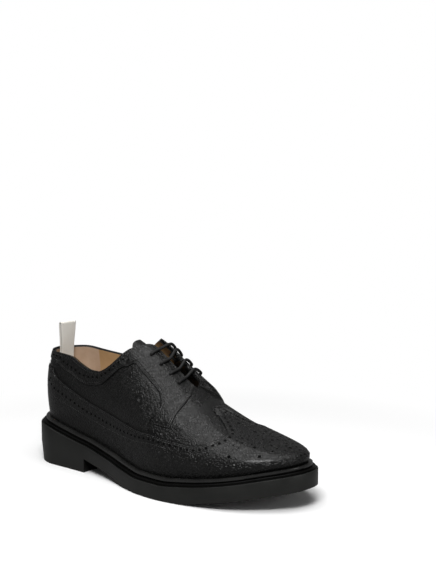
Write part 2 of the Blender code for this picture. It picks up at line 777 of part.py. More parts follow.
def pull_tab():
    """Loop of ribbon standing from inside the back of the collar."""
    rim = open_path(0.0)[0][-1]
    lean = math.radians(TAB_LEAN)
    along = np.array([math.sin(lean), math.cos(lean)])
    inward = np.array([along[1], -along[0]])
    start = np.array([rim[0], rim[2]]) + inward * (WALL + TAB_OFF_WALL + TAB_LOOP / 2) - along * TAB_TUCK
    reach = TAB_TUCK + TAB_HEIGHT - TAB_LOOP / 2
    arc = [math.pi * k / TAB_BENDS for k in range(TAB_BENDS + 1)]
    outer = [(0.0, -TAB_LOOP / 2)] + [(reach + math.sin(a) * TAB_LOOP / 2, -math.cos(a) * TAB_LOOP / 2)
                                      for a in arc] + [(0.0, TAB_LOOP / 2)]
    gap = TAB_LOOP / 2 - TAB_PLY
    inner = [(0.0, gap)] + [(reach + math.sin(a) * gap, math.cos(a) * gap) for a in arc] + [(0.0, -gap)]
    profile = [start + along * u + inward * v for u, v in outer + inner]
    points = [(p[0], y, p[1]) for y in (-TAB_WIDTH / 2, TAB_WIDTH / 2) for p in profile]
    count = len(profile)
    faces = [tuple(range(count)), tuple(range(count, 2 * count))]
    faces += [(k, (k + 1) % count, count + (k + 1) % count, count + k) for k in range(count)]
    return solid("pull_tab", points, faces, ribbon)


# The shoe's frame: the empty sets the middle of the sole's outline on the origin
edge_points = [outline(place, 0.0) for place in sole_turns([turn_of(HEEL_LENGTH)])]
shoe = bpy.data.objects.new("shoe", None)
bpy.context.collection.objects.link(shoe)
sides = [y for _, y in edge_points]
shoe.location = (-SOLE_LENGTH / 2 * METRE, -(min(sides) + max(sides)) / 2 * METRE, 0.0)

for make in (sole_unit, welt, insole, upper, tongue, lace, pull_tab):
    make().parent = shoe
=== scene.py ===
import math

import bmesh
import bpy
import numpy as np
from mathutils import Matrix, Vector


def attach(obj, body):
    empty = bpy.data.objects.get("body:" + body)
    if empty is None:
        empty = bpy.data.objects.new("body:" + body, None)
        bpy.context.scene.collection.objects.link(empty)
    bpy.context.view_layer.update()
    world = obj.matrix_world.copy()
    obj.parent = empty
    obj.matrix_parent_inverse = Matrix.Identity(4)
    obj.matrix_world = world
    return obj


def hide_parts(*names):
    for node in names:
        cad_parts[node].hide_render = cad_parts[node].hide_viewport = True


# Longwing brogue, a right shoe. Lengths are millimetres unless a line says otherwise.
# x runs from the back of the heel to the toe, the outer side is -y.

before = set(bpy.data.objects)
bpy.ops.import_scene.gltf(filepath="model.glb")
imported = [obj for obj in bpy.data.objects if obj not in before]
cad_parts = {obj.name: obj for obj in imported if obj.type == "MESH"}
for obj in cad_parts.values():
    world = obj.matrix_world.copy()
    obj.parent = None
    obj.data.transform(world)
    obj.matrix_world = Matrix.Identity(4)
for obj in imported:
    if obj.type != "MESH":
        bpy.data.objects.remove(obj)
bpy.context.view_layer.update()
print("stage: frame loaded")

# Camera
cameraSet = {
    "place": (0.7764, -0.8645, 0.3476),   # metres
    "azimuth": 39.757,                    # degrees
    "elevation": 8.576,
    "lens": 81.38,
    "sensor": 36.0,
}


def addCamera():
    lens = bpy.data.cameras.new("camera")
    lens.sensor_fit = "VERTICAL"
    lens.sensor_height = cameraSet["sensor"]
    lens.lens = cameraSet["lens"]
    lens.clip_start = 0.01
    camera = bpy.data.objects.new("camera", lens)
    camera.location = cameraSet["place"]
    camera.rotation_euler = (math.radians(90 - cameraSet["elevation"]), 0, math.radians(cameraSet["azimuth"]))
    bpy.context.collection.objects.link(camera)
    bpy.context.scene.camera = camera


addCamera()
print("stage: camera")

# The last and the sole's outline; shares are of the length, from heel to toe
last = {
    "soleLength": 303.0, "soleWidth": 110.0, "toeSwing": 9.8, "swingFrom": 0.45, "swingPower": 1.5,
    "backRound": 36.0, "toeRound": 72.0, "planPowers": (2.1, 2.2), "crownPowers": (2.0, 2.3),
    "soleThickness": 13.2, "heelRise": 23.8, "toeSpring": 18.0, "springStart": 0.66, "archRise": 12.9,
    "archEnd": 0.525, "heelLength": 78.6, "recessHeight": 3.1, "gap": 0.3, "weltThickness": 2.6,
    "weltInset": 4.8, "weltReach": 4.4, "featherInset": 9.9, "wideInset": 7.9, "coneHeight": 150.0,
    "toeHeight": 50.3, "bulgeHeight": 26.0, "backLean": 66.0, "toeSlope": 62.0, "collarHeight": 106.0,
    "collarLength": 134.0, "collarSlack": 1.02, "spineBack": 50.0, "spineBlend": 9.0, "throatEnd": 177.0,
    "throatLateral": 2.5, "throatMedial": 5.0, "ridgeShift": 8.0, "wall": 2.2, "middleY": 0.62724,
}
perMetre = 1000
shortest = 1e-6    # keeps a division from zero
smallest = 1e-9


def table(names, rows):
    return dict(zip(names.split(), np.array(rows, float).T))


plan = table("along lateral medial", [
    (0.00, 0.325, 0.323), (0.12, 0.330, 0.332), (0.25, 0.338, 0.323), (0.36, 0.378, 0.314),
    (0.46, 0.451, 0.332), (0.54, 0.506, 0.373), (0.62, 0.529, 0.432), (0.70, 0.515, 0.477),
    (0.78, 0.488, 0.485), (0.86, 0.449, 0.464), (0.93, 0.406, 0.427), (1.00, 0.364, 0.373)])
rand = table("along heel toe", [
    (0.000, 1.000, 0.00), (0.092, 0.937, 0.00), (0.132, 0.823, 0.00), (0.211, 0.618, 0.00),
    (0.290, 0.450, 0.00), (0.370, 0.260, 0.00), (0.450, 0.110, 0.00), (0.530, 0.000, 0.00),
    (0.620, 0.000, 0.00), (0.686, 0.000, 0.10), (0.766, 0.000, 0.29), (0.845, 0.000, 0.53),
    (0.924, 0.000, 0.82), (1.000, 0.000, 1.06)])
arch = table("along rise", [(0.00, 1.00), (0.12, 0.84), (0.26, 0.70), (0.41, 0.53), (0.56, 0.37),
                            (0.71, 0.20), (0.86, 0.07), (1.00, 0.00)])
spring = table("along rise", [(0.00, 0.00), (0.09, 0.03), (0.20, 0.14), (0.31, 0.25),
                              (0.55, 0.49), (0.78, 0.75), (0.90, 0.88), (1.00, 1.00)])
section = table("along bulge ridge shift corner", [
    (0.00, 1.00, 0.960, 0.00, 2.6), (0.12, 1.00, 1.000, 0.00, 2.6),
    (0.25, 0.92, 0.940, 0.12, 2.5), (0.35, 0.85, 0.830, 0.31, 2.4),
    (0.45, 0.73, 0.690, 0.44, 2.3), (0.55, 0.58, 0.490, 0.50, 2.2),
    (0.63, 0.46, 0.330, 0.50, 2.2), (0.70, 0.40, 0.210, 0.56, 2.3),
    (0.78, 0.33, 0.105, 0.69, 2.4), (0.86, 0.27, 0.045, 0.81, 2.4),
    (0.93, 0.23, 0.015, 0.94, 2.4), (1.00, 0.19, 0.000, 1.00, 2.4)])
collarLine = table("along lateral medial", [
    (0.00, 0.995, 0.985), (0.12, 1.000, 0.985), (0.24, 0.998, 0.970), (0.37, 0.985, 0.960),
    (0.47, 0.935, 0.956), (0.58, 0.900, 0.950), (0.65, 0.900, 0.948), (0.71, 0.926, 0.955),
    (0.78, 0.985, 0.990), (0.84, 1.058, 1.060), (0.89, 1.118, 1.115), (0.95, 1.145, 1.145),
    (1.00, 1.165, 1.165)])


def smooth(rows, column, at):
    knots, values = rows["along"], rows[column]
    at = np.clip(np.asarray(at, float), knots[0], knots[-1])
    span = np.diff(knots)
    rise = np.diff(values) / span
    slope = np.zeros_like(values)
    both = rise[1:] * rise[:-1]
    total = rise[1:] + rise[:-1]
    slope[1:-1] = np.where(both > 0, 2 * both / np.where(total == 0, 1, total), 0)
    slope[0], slope[-1] = rise[0], rise[-1]
    cell = np.clip(np.searchsorted(knots, at, side="right") - 1, 0, len(span) - 1)
    t = (at - knots[cell]) / span[cell]
    return ((2 * t**3 - 3 * t**2 + 1) * values[cell] + (t**3 - 2 * t**2 + t) * span[cell] * slope[cell]
            + (3 * t**2 - 2 * t**3) * values[cell + 1] + (t**3 - t**2) * span[cell] * slope[cell + 1])


def ease(t):
    t = np.clip(t, 0, 1)
    return t * t * (3 - 2 * t)


def endRound(x, inset, back, toe, backPower, toePower):
    u = np.clip((back - x) / (back - inset), 0, 1)
    v = np.clip((x - (last["soleLength"] - toe)) / (toe - inset), 0, 1)
    return (1 - u**backPower) ** (1 / backPower) * (1 - v**toePower) ** (1 / toePower)


def planRound(x, inset):
    return endRound(x, inset, last["backRound"], last["toeRound"], *last["planPowers"])


def swing(x):
    share = (x / last["soleLength"] - last["swingFrom"]) / (1 - last["swingFrom"])
    return last["toeSwing"] * np.clip(share, 0, 1) ** last["swingPower"]


def halfWidth(x, side, inset):
    share = np.asarray(x, float) / last["soleLength"]
    wide = np.where(side < 0, smooth(plan, "lateral", share), smooth(plan, "medial", share))
    return (wide * last["soleWidth"] - inset) * planRound(x, inset)


def turnOf(x, inset=0.0):
    return math.acos(1 - 2 * (x - inset) / (last["soleLength"] - 2 * inset)) / math.pi


def outline(turn, inset):
    turn = np.asarray(turn, float)
    side = np.where(turn <= 1, -1, 1)
    tau = np.where(turn <= 1, turn, 2 - turn)
    x = inset + (last["soleLength"] - 2 * inset) * (1 - np.cos(np.pi * tau)) / 2
    return x, swing(x) + side * halfWidth(x, side, inset)


def wallTop(x):
    share = x / last["soleLength"]
    return (last["soleThickness"] + last["heelRise"] * smooth(rand, "heel", share)
            + last["toeSpring"] * smooth(rand, "toe", share))


def soleBottom(x):
    share = x / last["soleLength"]
    breast = last["heelLength"] / last["soleLength"]
    up = smooth(arch, "rise", (share - breast) / (last["archEnd"] - breast))
    toe = smooth(spring, "rise", (share - last["springStart"]) / (1 - last["springStart"]))
    return last["archRise"] * up + last["toeSpring"] * toe


def weltBottom(x):
    return wallTop(x) + last["recessHeight"] + last["gap"]


def weltTop(x):
    return weltBottom(x) + last["weltThickness"]


def upperFoot(x):
    return weltTop(x) + last["gap"]


def alongUpper(x):
    return (x - last["wideInset"]) / (last["soleLength"] - 2 * last["wideInset"])


def wideHeight(x):
    return upperFoot(x) + last["bulgeHeight"] * smooth(section, "bulge", alongUpper(x))


def ridgeLine(x):
    shift = last["ridgeShift"] * smooth(section, "shift", alongUpper(x))
    return swing(x) + (shift - swing(x)) * planRound(x, last["wideInset"])


def lastHeight(x, y):
    share = alongUpper(x)
    middle = ridgeLine(x)
    low = wideHeight(x)
    ridge = last["toeHeight"] + (last["coneHeight"] - last["toeHeight"]) * smooth(section, "ridge", share)
    ends = endRound(x, last["wideInset"], last["backLean"], last["toeSlope"], *last["crownPowers"])
    rise = (ridge - low) * ends
    lateral = middle - (swing(x) - halfWidth(x, -1, last["wideInset"]))
    medial = swing(x) + halfWidth(x, 1, last["wideInset"]) - middle
    reach = np.maximum(np.where(y < middle, lateral, medial), shortest)
    across = np.clip(np.abs(y - middle) / reach, 0, 1)
    return low + rise * np.sqrt(np.clip(1 - across ** smooth(section, "corner", share), 0, 1))


def softLimit(x, low, high):
    blend = last["spineBlend"]
    raised = low + blend * np.log1p(np.exp((x - low) / blend))
    return high - blend * np.log1p(np.exp((high - raised) / blend))


def collarHeight(x, side):
    share = (x - last["wideInset"]) / (last["collarLength"] - last["wideInset"])
    height = last["collarHeight"] * smooth(collarLine, "lateral" if side < 0 else "medial", share)
    return np.where(share > last["collarSlack"], 10 * last["coneHeight"], height)   # past it, nothing is cut


def openPath(place, samples=520, wallSamples=24):
    xFoot, yFoot = (float(v) for v in outline(place, last["featherInset"]))
    xWide, yWide = (float(v) for v in outline(place, last["wideInset"]))
    foot, wide = float(upperFoot(xFoot)), float(wideHeight(xWide))
    t = np.arange(wallSamples) / wallSamples
    bow = np.sin(t * math.pi / 2)
    wall = np.stack([xFoot + (xWide - xFoot) * bow, yFoot + (yWide - yFoot) * bow,
                     foot + (wide - foot) * t], -1)
    xSpine = float(softLimit(xWide, last["spineBack"], last["throatEnd"]))
    ySpine = float(ridgeLine(xSpine))
    t = np.linspace(0, 1, samples) ** 3
    x = xWide + (xSpine - xWide) * t
    y = yWide + (ySpine - yWide) * t
    z = lastHeight(x, y)
    z[0] = wide
    path = np.concatenate([wall, np.stack([x, y, z], -1)])
    side = -1 if place <= 1 else 1
    half = last["throatLateral"] if side < 0 else last["throatMedial"]
    near = np.hypot(path[:, 0] - xSpine, path[:, 1] - ySpine) - half
    over = collarHeight(path[:, 0], side) - path[:, 2]
    over[:wallSamples] = 1.0   # the collar never cuts the low wall
    left = np.minimum(near, over)
    cut = int(np.argmax(left <= 0))
    t = left[cut - 1] / (left[cut - 1] - left[cut])
    run = np.concatenate([[0], np.cumsum(np.linalg.norm(np.diff(path, axis=0), axis=1))])
    return path, run, run[cut - 1] + (run[cut] - run[cut - 1]) * t


lastSkin = {"columns": 720, "rows": 260, "edgeRounds": 7}


def makeLastSkin():
    columns, rows = lastSkin["columns"], lastSkin["rows"]
    points = np.zeros((columns, rows, 3))
    paths = [openPath(2 * c / columns) for c in range(columns)]
    ends = np.array([path[2] for path in paths])
    for _ in range(lastSkin["edgeRounds"]):
        ends = (np.roll(ends, 1) + 2 * ends + np.roll(ends, -1)) / 4
    shares = np.linspace(0, 1, rows)
    for c, (path, run, _) in enumerate(paths):
        for k in range(3):
            points[c, :, k] = np.interp(shares * ends[c], run, path[:, k])
    around = np.roll(points, -1, axis=0) - np.roll(points, 1, axis=0)
    upward = np.gradient(points, axis=1)
    normals = np.cross(around, upward)
    normals /= np.linalg.norm(normals, axis=2, keepdims=True)
    lastSkin["points"], lastSkin["normals"], lastSkin["ends"] = points, normals, ends


makeLastSkin()
print("stage: last worked out")


def endRun(place):
    at = np.mod(np.asarray(place, float), 2) * lastSkin["columns"] / 2
    low = np.floor(at).astype(int)
    t = at - low
    ends = lastSkin["ends"]
    return ends[low % len(ends)] * (1 - t) + ends[(low + 1) % len(ends)] * t


def readSkin(values, place, run):
    columns, rows = lastSkin["columns"], lastSkin["rows"]
    place, run = np.broadcast_arrays(np.asarray(place, float), np.asarray(run, float))
    at = np.mod(place, 2) * columns / 2
    c = np.floor(at).astype(int)
    s = (at - c)[..., None]
    share = np.clip(run / endRun(place), 0, 1) * (rows - 1)
    r = np.minimum(np.floor(share).astype(int), rows - 2)
    t = (share - r)[..., None]
    low = values[c % columns, r] * (1 - s) + values[(c + 1) % columns, r] * s
    high = values[c % columns, r + 1] * (1 - s) + values[(c + 1) % columns, r + 1] * s
    return low * (1 - t) + high * t


def onLast(place, run, rise):
    point = readSkin(lastSkin["points"], place, run)
    normal = readSkin(lastSkin["normals"], place, run)
    normal = normal / np.linalg.norm(normal, axis=-1, keepdims=True)
    return point + normal * np.asarray(rise, float)[..., None], normal


# Small mesh helpers
def toFrame(points):
    points = np.asarray(points, float)
    return (points - np.array([last["soleLength"] / 2, last["middleY"], 0.0])) / perMetre


def addPiece(name, points, faces, surface, uv=None, flip=False):
    mesh = bpy.data.meshes.new(name)
    placed = toFrame(points)
    if flip:
        faces = [tuple(reversed(f)) for f in faces]
    mesh.from_pydata([tuple(p) for p in placed], [], faces)
    if uv is not None:
        layer = mesh.uv_layers.new(name="seamMap")
        corners = np.zeros(len(mesh.loops), int)
        mesh.loops.foreach_get("vertex_index", corners)
        layer.data.foreach_set("uv", np.asarray(uv, float)[corners].ravel())
    mesh.shade_smooth()
    mesh.materials.append(surface)
    piece = bpy.data.objects.new(name, mesh)
    bpy.context.collection.objects.link(piece)
    return piece


def gridFaces(columns, rows, closed=False, start=0):
    c = np.arange(columns if closed else columns - 1)
    r = np.arange(rows - 1)
    c, r = np.meshgrid(c, r, indexing="ij")
    after = (c + 1) % columns
    faces = np.stack([c * rows + r, after * rows + r, after * rows + r + 1, c * rows + r + 1], -1) + start
    return [tuple(f) for f in faces.reshape(-1, 4).tolist()]


def gridPiece(name, points, surface, closed=False, uv=None, flip=False):
    columns, rows = points.shape[:2]
    flat = points.reshape(-1, 3)
    return addPiece(name, flat, gridFaces(columns, rows, closed), surface,
                    None if uv is None else uv.reshape(-1, 2), flip)


def sharpen(piece, angle):
    piece.data.set_sharp_from_angle(angle=math.radians(angle))


def turnOutward(piece):
    work = bmesh.new()
    work.from_mesh(piece.data)
    bmesh.ops.recalc_face_normals(work, faces=work.faces)
    work.to_mesh(piece.data)
    work.free()


def finishPiece(piece, slot, *nodes):
    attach(piece, "root")
    if nodes:
        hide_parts(*nodes)
    return piece


# Materials
def newMaterial(name):
    surface = bpy.data.materials.new(name)
    surface.use_nodes = True
    return surface, surface.node_tree, surface.node_tree.nodes["Principled BSDF"]


def feed(tree, node, inputs):
    # an input takes a value, or a link where what it is given is another node's output
    for socket, value in inputs.items():
        if isinstance(value, bpy.types.NodeSocket):
            tree.links.new(value, node.inputs[socket])
        else:
            node.inputs[socket].default_value = value


def addNode(tree, kind, inputs=None, **settings):
    node = tree.nodes.new(kind)
    for label, value in settings.items():
        setattr(node, label, value)
    feed(tree, node, inputs or {})
    return node


def objectPlace(tree):
    return tree.nodes.new("ShaderNodeTexCoord").outputs["Object"]


def noise(tree, where, scale, detail, rough=0.5):
    inputs = {"Scale": scale, "Detail": detail, "Roughness": rough, "Vector": where}
    return addNode(tree, "ShaderNodeTexNoise", inputs).outputs["Fac"]


def between(tree, value, low, high, toLow=0.0, toHigh=1.0):
    inputs = {"From Min": low, "From Max": high, "To Min": toLow, "To Max": toHigh, "Value": value}
    return addNode(tree, "ShaderNodeMapRange", inputs, interpolation_type="SMOOTHSTEP").outputs["Result"]


def colorRamp(tree, value, stops):
    node = addNode(tree, "ShaderNodeValToRGB", {"Fac": value})
    ramp = node.color_ramp
    while len(ramp.elements) < len(stops):
        ramp.elements.new(0.5)
    for element, (place, color) in zip(ramp.elements, stops):
        element.position = place
        element.color = (*color, 1.0)
    return node.outputs["Color"]


def bump(tree, height, strength, distance, before=None):
    inputs = {"Strength": strength, "Distance": distance, "Height": height}
    if before is not None:
        inputs["Normal"] = before
    return addNode(tree, "ShaderNodeBump", inputs).outputs["Normal"]


def warped(tree, where, amount, scale):
    wander = addNode(tree, "ShaderNodeTexNoise", {"Scale": scale, "Detail": 1.0, "Vector": where})
    inputs = {"Fac": amount, "Color1": where, "Color2": wander.outputs["Color"]}
    return addNode(tree, "ShaderNodeMixRGB", inputs, blend_type="LINEAR_LIGHT").outputs["Color"]


blotchSpan = (0.3, 0.7)   # the part of a noise's range that is used
pebbleLeather = {   # grain and depths in metres
    "grain": 0.0023, "grainDepth": 0.0006, "strength": 0.7, "cellEdge": 0.34, "wander": 0.0009,
    "wanderScale": 420.0, "patchScale": 60.0, "fineScale": 3800.0, "fineStrength": 0.25, "fineDepth": 0.00003,
    "detail": 3.0, "deep": (0.003, 0.003, 0.003), "top": (0.0075, 0.0075, 0.007), "topFrom": 0.7,
    "roughLow": 0.24, "roughHigh": 0.32, "coat": 0.15, "coatRoughness": 0.16, "specular": 0.27,
}


def makePebbleLeather(name, change=()):
    recipe = dict(pebbleLeather, **dict(change))
    surface, tree, shader = newMaterial(name)
    where = objectPlace(tree)
    moved = warped(tree, where, recipe["wander"], recipe["wanderScale"])
    cells = addNode(tree, "ShaderNodeTexVoronoi", {"Scale": 1.0 / recipe["grain"], "Vector": moved},
                    feature="DISTANCE_TO_EDGE")
    pebbles = between(tree, cells.outputs["Distance"], 0.0, recipe["cellEdge"])
    patches = noise(tree, where, recipe["patchScale"], recipe["detail"])
    fine = noise(tree, where, recipe["fineScale"], recipe["detail"])
    small = bump(tree, fine, recipe["fineStrength"], recipe["fineDepth"])
    # painted shade: the colour is darker (deep) in the crevices between the pebbles than on their tops (top)
    feed(tree, shader, {
        "Base Color": colorRamp(tree, pebbles, [(0.0, recipe["deep"]), (recipe["topFrom"], recipe["top"])]),
        "Roughness": between(tree, patches, *blotchSpan, recipe["roughLow"], recipe["roughHigh"]),
        "Normal": bump(tree, pebbles, recipe["strength"], recipe["grainDepth"], small),
        "Specular IOR Level": recipe["specular"],
        "Coat Weight": recipe["coat"],
        "Coat Roughness": recipe["coatRoughness"],
    })
    return surface


smoothLeather = {"blotchScale": 45.0, "blotchDetail": 4.0, "blotchRough": 0.6, "poreDetail": 3.0,
                 "poreStrength": 0.35, "roughSpan": 0.06}


def makeSmoothLeather(name, dark, light, rough, specular=0.4, pore=1500.0, poreDepth=0.00004):
    recipe = smoothLeather
    surface, tree, shader = newMaterial(name)
    where = objectPlace(tree)
    blotch = noise(tree, where, recipe["blotchScale"], recipe["blotchDetail"], recipe["blotchRough"])
    pores = noise(tree, where, pore, recipe["poreDetail"])
    span = recipe["roughSpan"]
    feed(tree, shader, {
        "Base Color": colorRamp(tree, blotch, list(zip(blotchSpan, (dark, light)))),
        "Roughness": between(tree, blotch, *blotchSpan, rough - span, rough + span),
        "Normal": bump(tree, pores, recipe["poreStrength"], poreDepth),
        "Specular IOR Level": specular,
    })
    return surface


# The lining is another colour behind the heel seam, whose place and blur are metres in the frame
liningSet = {
    "columns": 720, "rows": 90, "endGap": 0.5, "lip": [(-0.25, 0.06), (-0.06, 0.25), (0.0, 0.6), (0.0, 1.1)],
    "edge": 1.1, "throatFrom": 140.0, "throatEdge": 60.0, "heelSeam": -0.112, "seamBlur": 0.0004,
    "gold": ((0.44, 0.275, 0.13), (0.53, 0.345, 0.18)), "blush": ((0.50, 0.36, 0.25), (0.60, 0.45, 0.33)),
    "rough": 0.58, "specular": 0.25, "blotchScale": 70.0, "blotchDetail": 5.0, "blotchRough": 0.6,
}


def makeLiningLeather(name):
    recipe = liningSet
    surface = makeSmoothLeather(name, *recipe["gold"], recipe["rough"], recipe["specular"])
    tree = surface.node_tree
    shader = tree.nodes["Principled BSDF"]
    gold = shader.inputs["Base Color"].links[0].from_socket
    where = objectPlace(tree)
    along = addNode(tree, "ShaderNodeSeparateXYZ", {"Vector": where}).outputs["X"]
    seam, blur = recipe["heelSeam"], recipe["seamBlur"]
    blotch = noise(tree, where, recipe["blotchScale"], recipe["blotchDetail"], recipe["blotchRough"])
    mix = addNode(tree, "ShaderNodeMixRGB", {
        "Fac": between(tree, along, seam + blur, seam - blur),
        "Color1": gold,
        "Color2": colorRamp(tree, blotch, list(zip(blotchSpan, recipe["blush"]))),
    })
    feed(tree, shader, {"Base Color": mix.outputs["Color"]})
    return surface


upperBlack = makePebbleLeather("pebbleLeatherBlack")
tongueBlack = makePebbleLeather("pebbleLeatherTongue", [("roughLow", 0.40), ("roughHigh", 0.58)])
liningTan = makeLiningLeather("liningTan")
# each finish: darker colour, lighter colour, roughness, then its shine, pore scale and pore depth
smoothFinishes = {name: makeSmoothLeather(name, *values) for name, values in {
    "weltBlack": ((0.010, 0.010, 0.010), (0.018, 0.018, 0.017), 0.26, 0.5),
    "rubberBlack": ((0.008, 0.0083, 0.0075), (0.013, 0.0134, 0.0122), 0.42, 0.42, 2300.0, 0.00003),
    # painted shade: near-black for the sole's tier and recess under the welt
    "rubberPaintedShade": ((0.0015, 0.0015, 0.0014), (0.003, 0.003, 0.0028), 0.35, 0.10),
    # black thread with painted highlight: a lighter grey than the leather
    "threadBlackAndHighlight": ((0.030, 0.030, 0.030), (0.046, 0.046, 0.045), 0.45, 0.4, 4200.0, 0.00006),
    # painted shade: the near-black discs that stand for the punched holes
    "holePaintedShade": ((0.0015, 0.0015, 0.0015), (0.003, 0.003, 0.003), 0.9, 0.05),
    # inked cut edge with painted shade: near-black and matte along the wing's and facings' edges, standing in
    # for the shadow at the step
    "edgeInkAndShade": ((0.002, 0.002, 0.002), (0.004, 0.004, 0.004), 0.8, 0.1),
    # painted highlight: a lighter colour on the facings' front edge
    "edgePaintedHighlight": ((0.016, 0.016, 0.015), (0.026, 0.026, 0.025), 0.32, 0.5),
    "edgeBlack": ((0.006, 0.006, 0.006), (0.012, 0.012, 0.012), 0.5, 0.35),
    "laceBlack": ((0.005, 0.005, 0.005), (0.010, 0.010, 0.010), 0.62, 0.3, 2600.0, 0.00025),
}.items()}
print("stage: finishes")

# Seams, as running heights up the wall from the welt, round the outline from heel to toe
wingEdge = table("along height", [
    (0.000, 1.00), (0.160, 1.00), (0.219, 0.87), (0.278, 0.79), (0.349, 0.71), (0.528, 0.72),
    (0.556, 0.71), (0.596, 0.67), (0.660, 0.59), (0.732, 0.75), (0.772, 0.91), (0.800, 1.06),
    (0.820, 1.28), (0.840, 1.60), (0.860, 1.82), (0.900, 1.95), (1.000, 2.03)])
wingHeight = 49.0
facingLine = table("along inPlace inWidth outPlace outWidth", [
    (0.00, 0.000, 7.5, 0.000, 0.0), (0.16, 0.164, 8.0, 0.164, 0.0), (0.20, 0.204, 11.2, 0.204, 0.0),
    (0.25, 0.244, 15.8, 0.244, 0.0), (0.29, 0.284, 16.8, 0.284, 0.0), (0.33, 0.320, 15.4, 0.322, 0.0),
    (0.38, 0.360, 13.2, 0.370, 0.0), (0.43, 0.396, 13.2, 0.408, 0.0), (0.48, 0.424, 16.4, 0.434, 0.0),
    (0.53, 0.446, 23.0, 0.452, 0.0), (0.58, 0.466, 29.5, 0.472, 0.0), (0.63, 0.487, 31.2, 0.500, 0.0),
    (0.68, 0.510, 32.0, 0.540, 0.0), (0.73, 0.530, 33.4, 0.590, 0.0), (0.77, 0.5420, 37.0, 0.630, 0.0),
    (0.81, 0.5480, 41.5, 0.6600, 0.0), (0.86, 0.5490, 45.5, 0.6430, 10.0), (0.91, 0.5470, 50.5, 0.6180, 24.0),
    (0.96, 0.5420, 55.5, 0.5930, 44.0), (1.00, 0.5370, 60.5, 0.5876, 55.5)])
upperSet = {"wingStep": 0.9, "quarterStep": 0.6, "bandStep": 0.8, "lateralLift": -0.6, "medialLift": 4.2,
            "liftReach": 38.0, "liftRun": 26.0, "liftStart": 100.0, "liftLength": 35.0, "frontBlend": 15.0,
            "frontPlace": 0.598, "liftPast": 0.05, "seamPlace": 0.534}


def tauOf(place):
    place = np.mod(place, 2)
    return np.where(place <= 1, place, 2 - place)


def wingRun(place):
    return wingHeight * smooth(wingEdge, "height", tauOf(place))


def liftOf(place, run):
    place = np.mod(place, 2)
    tau = tauOf(place)
    x = outline(place, last["wideInset"])[0]
    full = np.where(place <= 1, upperSet["lateralLift"], upperSet["medialLift"])
    amount = full * ease((run - endRun(place) + upperSet["liftReach"]) / upperSet["liftRun"])
    amount = amount * ease((x - upperSet["liftStart"]) / upperSet["liftLength"])
    ahead = upperSet["frontPlace"] + upperSet["liftPast"] - tau
    return amount * ease(ahead * last["soleLength"] / upperSet["frontBlend"])


def behindFront(place):
    return ease((upperSet["frontPlace"] - tauOf(place)) * last["soleLength"] / upperSet["frontBlend"])


# Panels of the upper, as grids over the last; a cut edge is steps back from it and down
cutEdge = [(-0.55, 0.0), (-0.30, -0.03), (-0.12, -0.13), (-0.03, -0.28), (0.0, -0.50), (0.0, -1.20)]


def withEdge(stops, rises, tops, fall):
    runs = [stops]
    ups = [rises]
    for back, down in fall:
        runs.append((tops + back)[:, None])
        ups.append((rises[:, -1] + down)[:, None])
    return np.concatenate(runs, 1), np.concatenate(ups, 1)


grooveSet = {"depth": 0.34, "half": 0.55, "places": (1.3, 2.7), "outer": 1.7, "fine": 0.16}


def groove(away, places, depth):
    # stitch channels pressed into a panel, at distances from its edge
    dip = np.zeros_like(away)
    for place in places:
        dip = np.maximum(dip, depth * np.exp(-((away - place) / grooveSet["half"])**2))
    return dip


def paintFaces(piece, finishes, chosen):
    # gives a piece more finishes; chosen holds 0 for its own finish, 1 for the first of these, and so on
    for name in finishes:
        piece.data.materials.append(smoothFinishes[name])
    piece.data.polygons.foreach_set("material_index", np.asarray(chosen).astype(np.int32))


def wingRise(place):
    return upperSet["wingStep"] + upperSet["quarterStep"] * behindFront(place)


def bandRise(place, run):
    return upperSet["quarterStep"] + upperSet["bandStep"] + liftOf(place, run)


wingSet = {"columns": 1200, "coarse": 26, "fine": 22, "fineFrom": 6.0, "fineGap": 0.2, "fineTo": 0.6,
           "footTuck": 1.6}


def makeWing():
    s = wingSet
    columns = s["columns"]
    place = np.arange(columns) * 2 / columns
    top = wingRun(place)
    share = np.linspace(0, 1, s["coarse"])[None, :]
    fine = np.linspace(s["fineFrom"] - s["fineGap"], s["fineTo"], s["fine"])
    away = np.concatenate([(top[:, None] - s["fineFrom"]) * (1 - share) + s["fineFrom"],
                           np.repeat(fine[None, :], columns, 0)], 1)
    up = wingRise(place)[:, None] - groove(away, grooveSet["places"], grooveSet["depth"])
    run, up = withEdge(top[:, None] - away, up, top, cutEdge)
    run = np.concatenate([np.zeros((columns, 1)), run], 1)
    up = np.concatenate([up[:, :1] - s["footTuck"], up], 1)
    points, _ = onLast(np.repeat(place[:, None], run.shape[1], 1), run, up)
    piece = gridPiece("wing", points, upperBlack, closed=True)
    bands = run.shape[1] - 1
    # the rim faces get the inked edge with painted shade
    inkedAndShaded = np.arange(len(piece.data.polygons)) % bands >= bands - len(cutEdge)
    paintFaces(piece, ["edgeInkAndShade"], inkedAndShaded)
    return piece


vampSet = {"columns": 700, "rows": 120, "from": 0.50, "to": 1.50, "underWing": 4.0, "endGap": 0.6}


def makeVamp():
    s = vampSet
    place = np.linspace(s["from"], s["to"], s["columns"])
    end = endRun(place)
    low = wingRun(place) - s["underWing"]
    run = low[:, None] + np.linspace(0, 1, s["rows"])[None, :] * (end - s["endGap"] - low)[:, None]
    run, up = withEdge(run, np.zeros_like(run), end, cutEdge[:-1])
    at = np.repeat(place[:, None], run.shape[1], 1)
    points, _ = onLast(at, run, up + liftOf(at, run))
    return gridPiece("vamp", points, upperBlack)


quarterSet = {"columns": 900, "rows": 90, "underWing": 4.0, "underFacing": 3.0, "seamLean": 0.014,
              "leanFrom": 45.0, "leanRun": 9.0, "endShare": 0.2, "endDrop": 0.9, "rounds": 3}


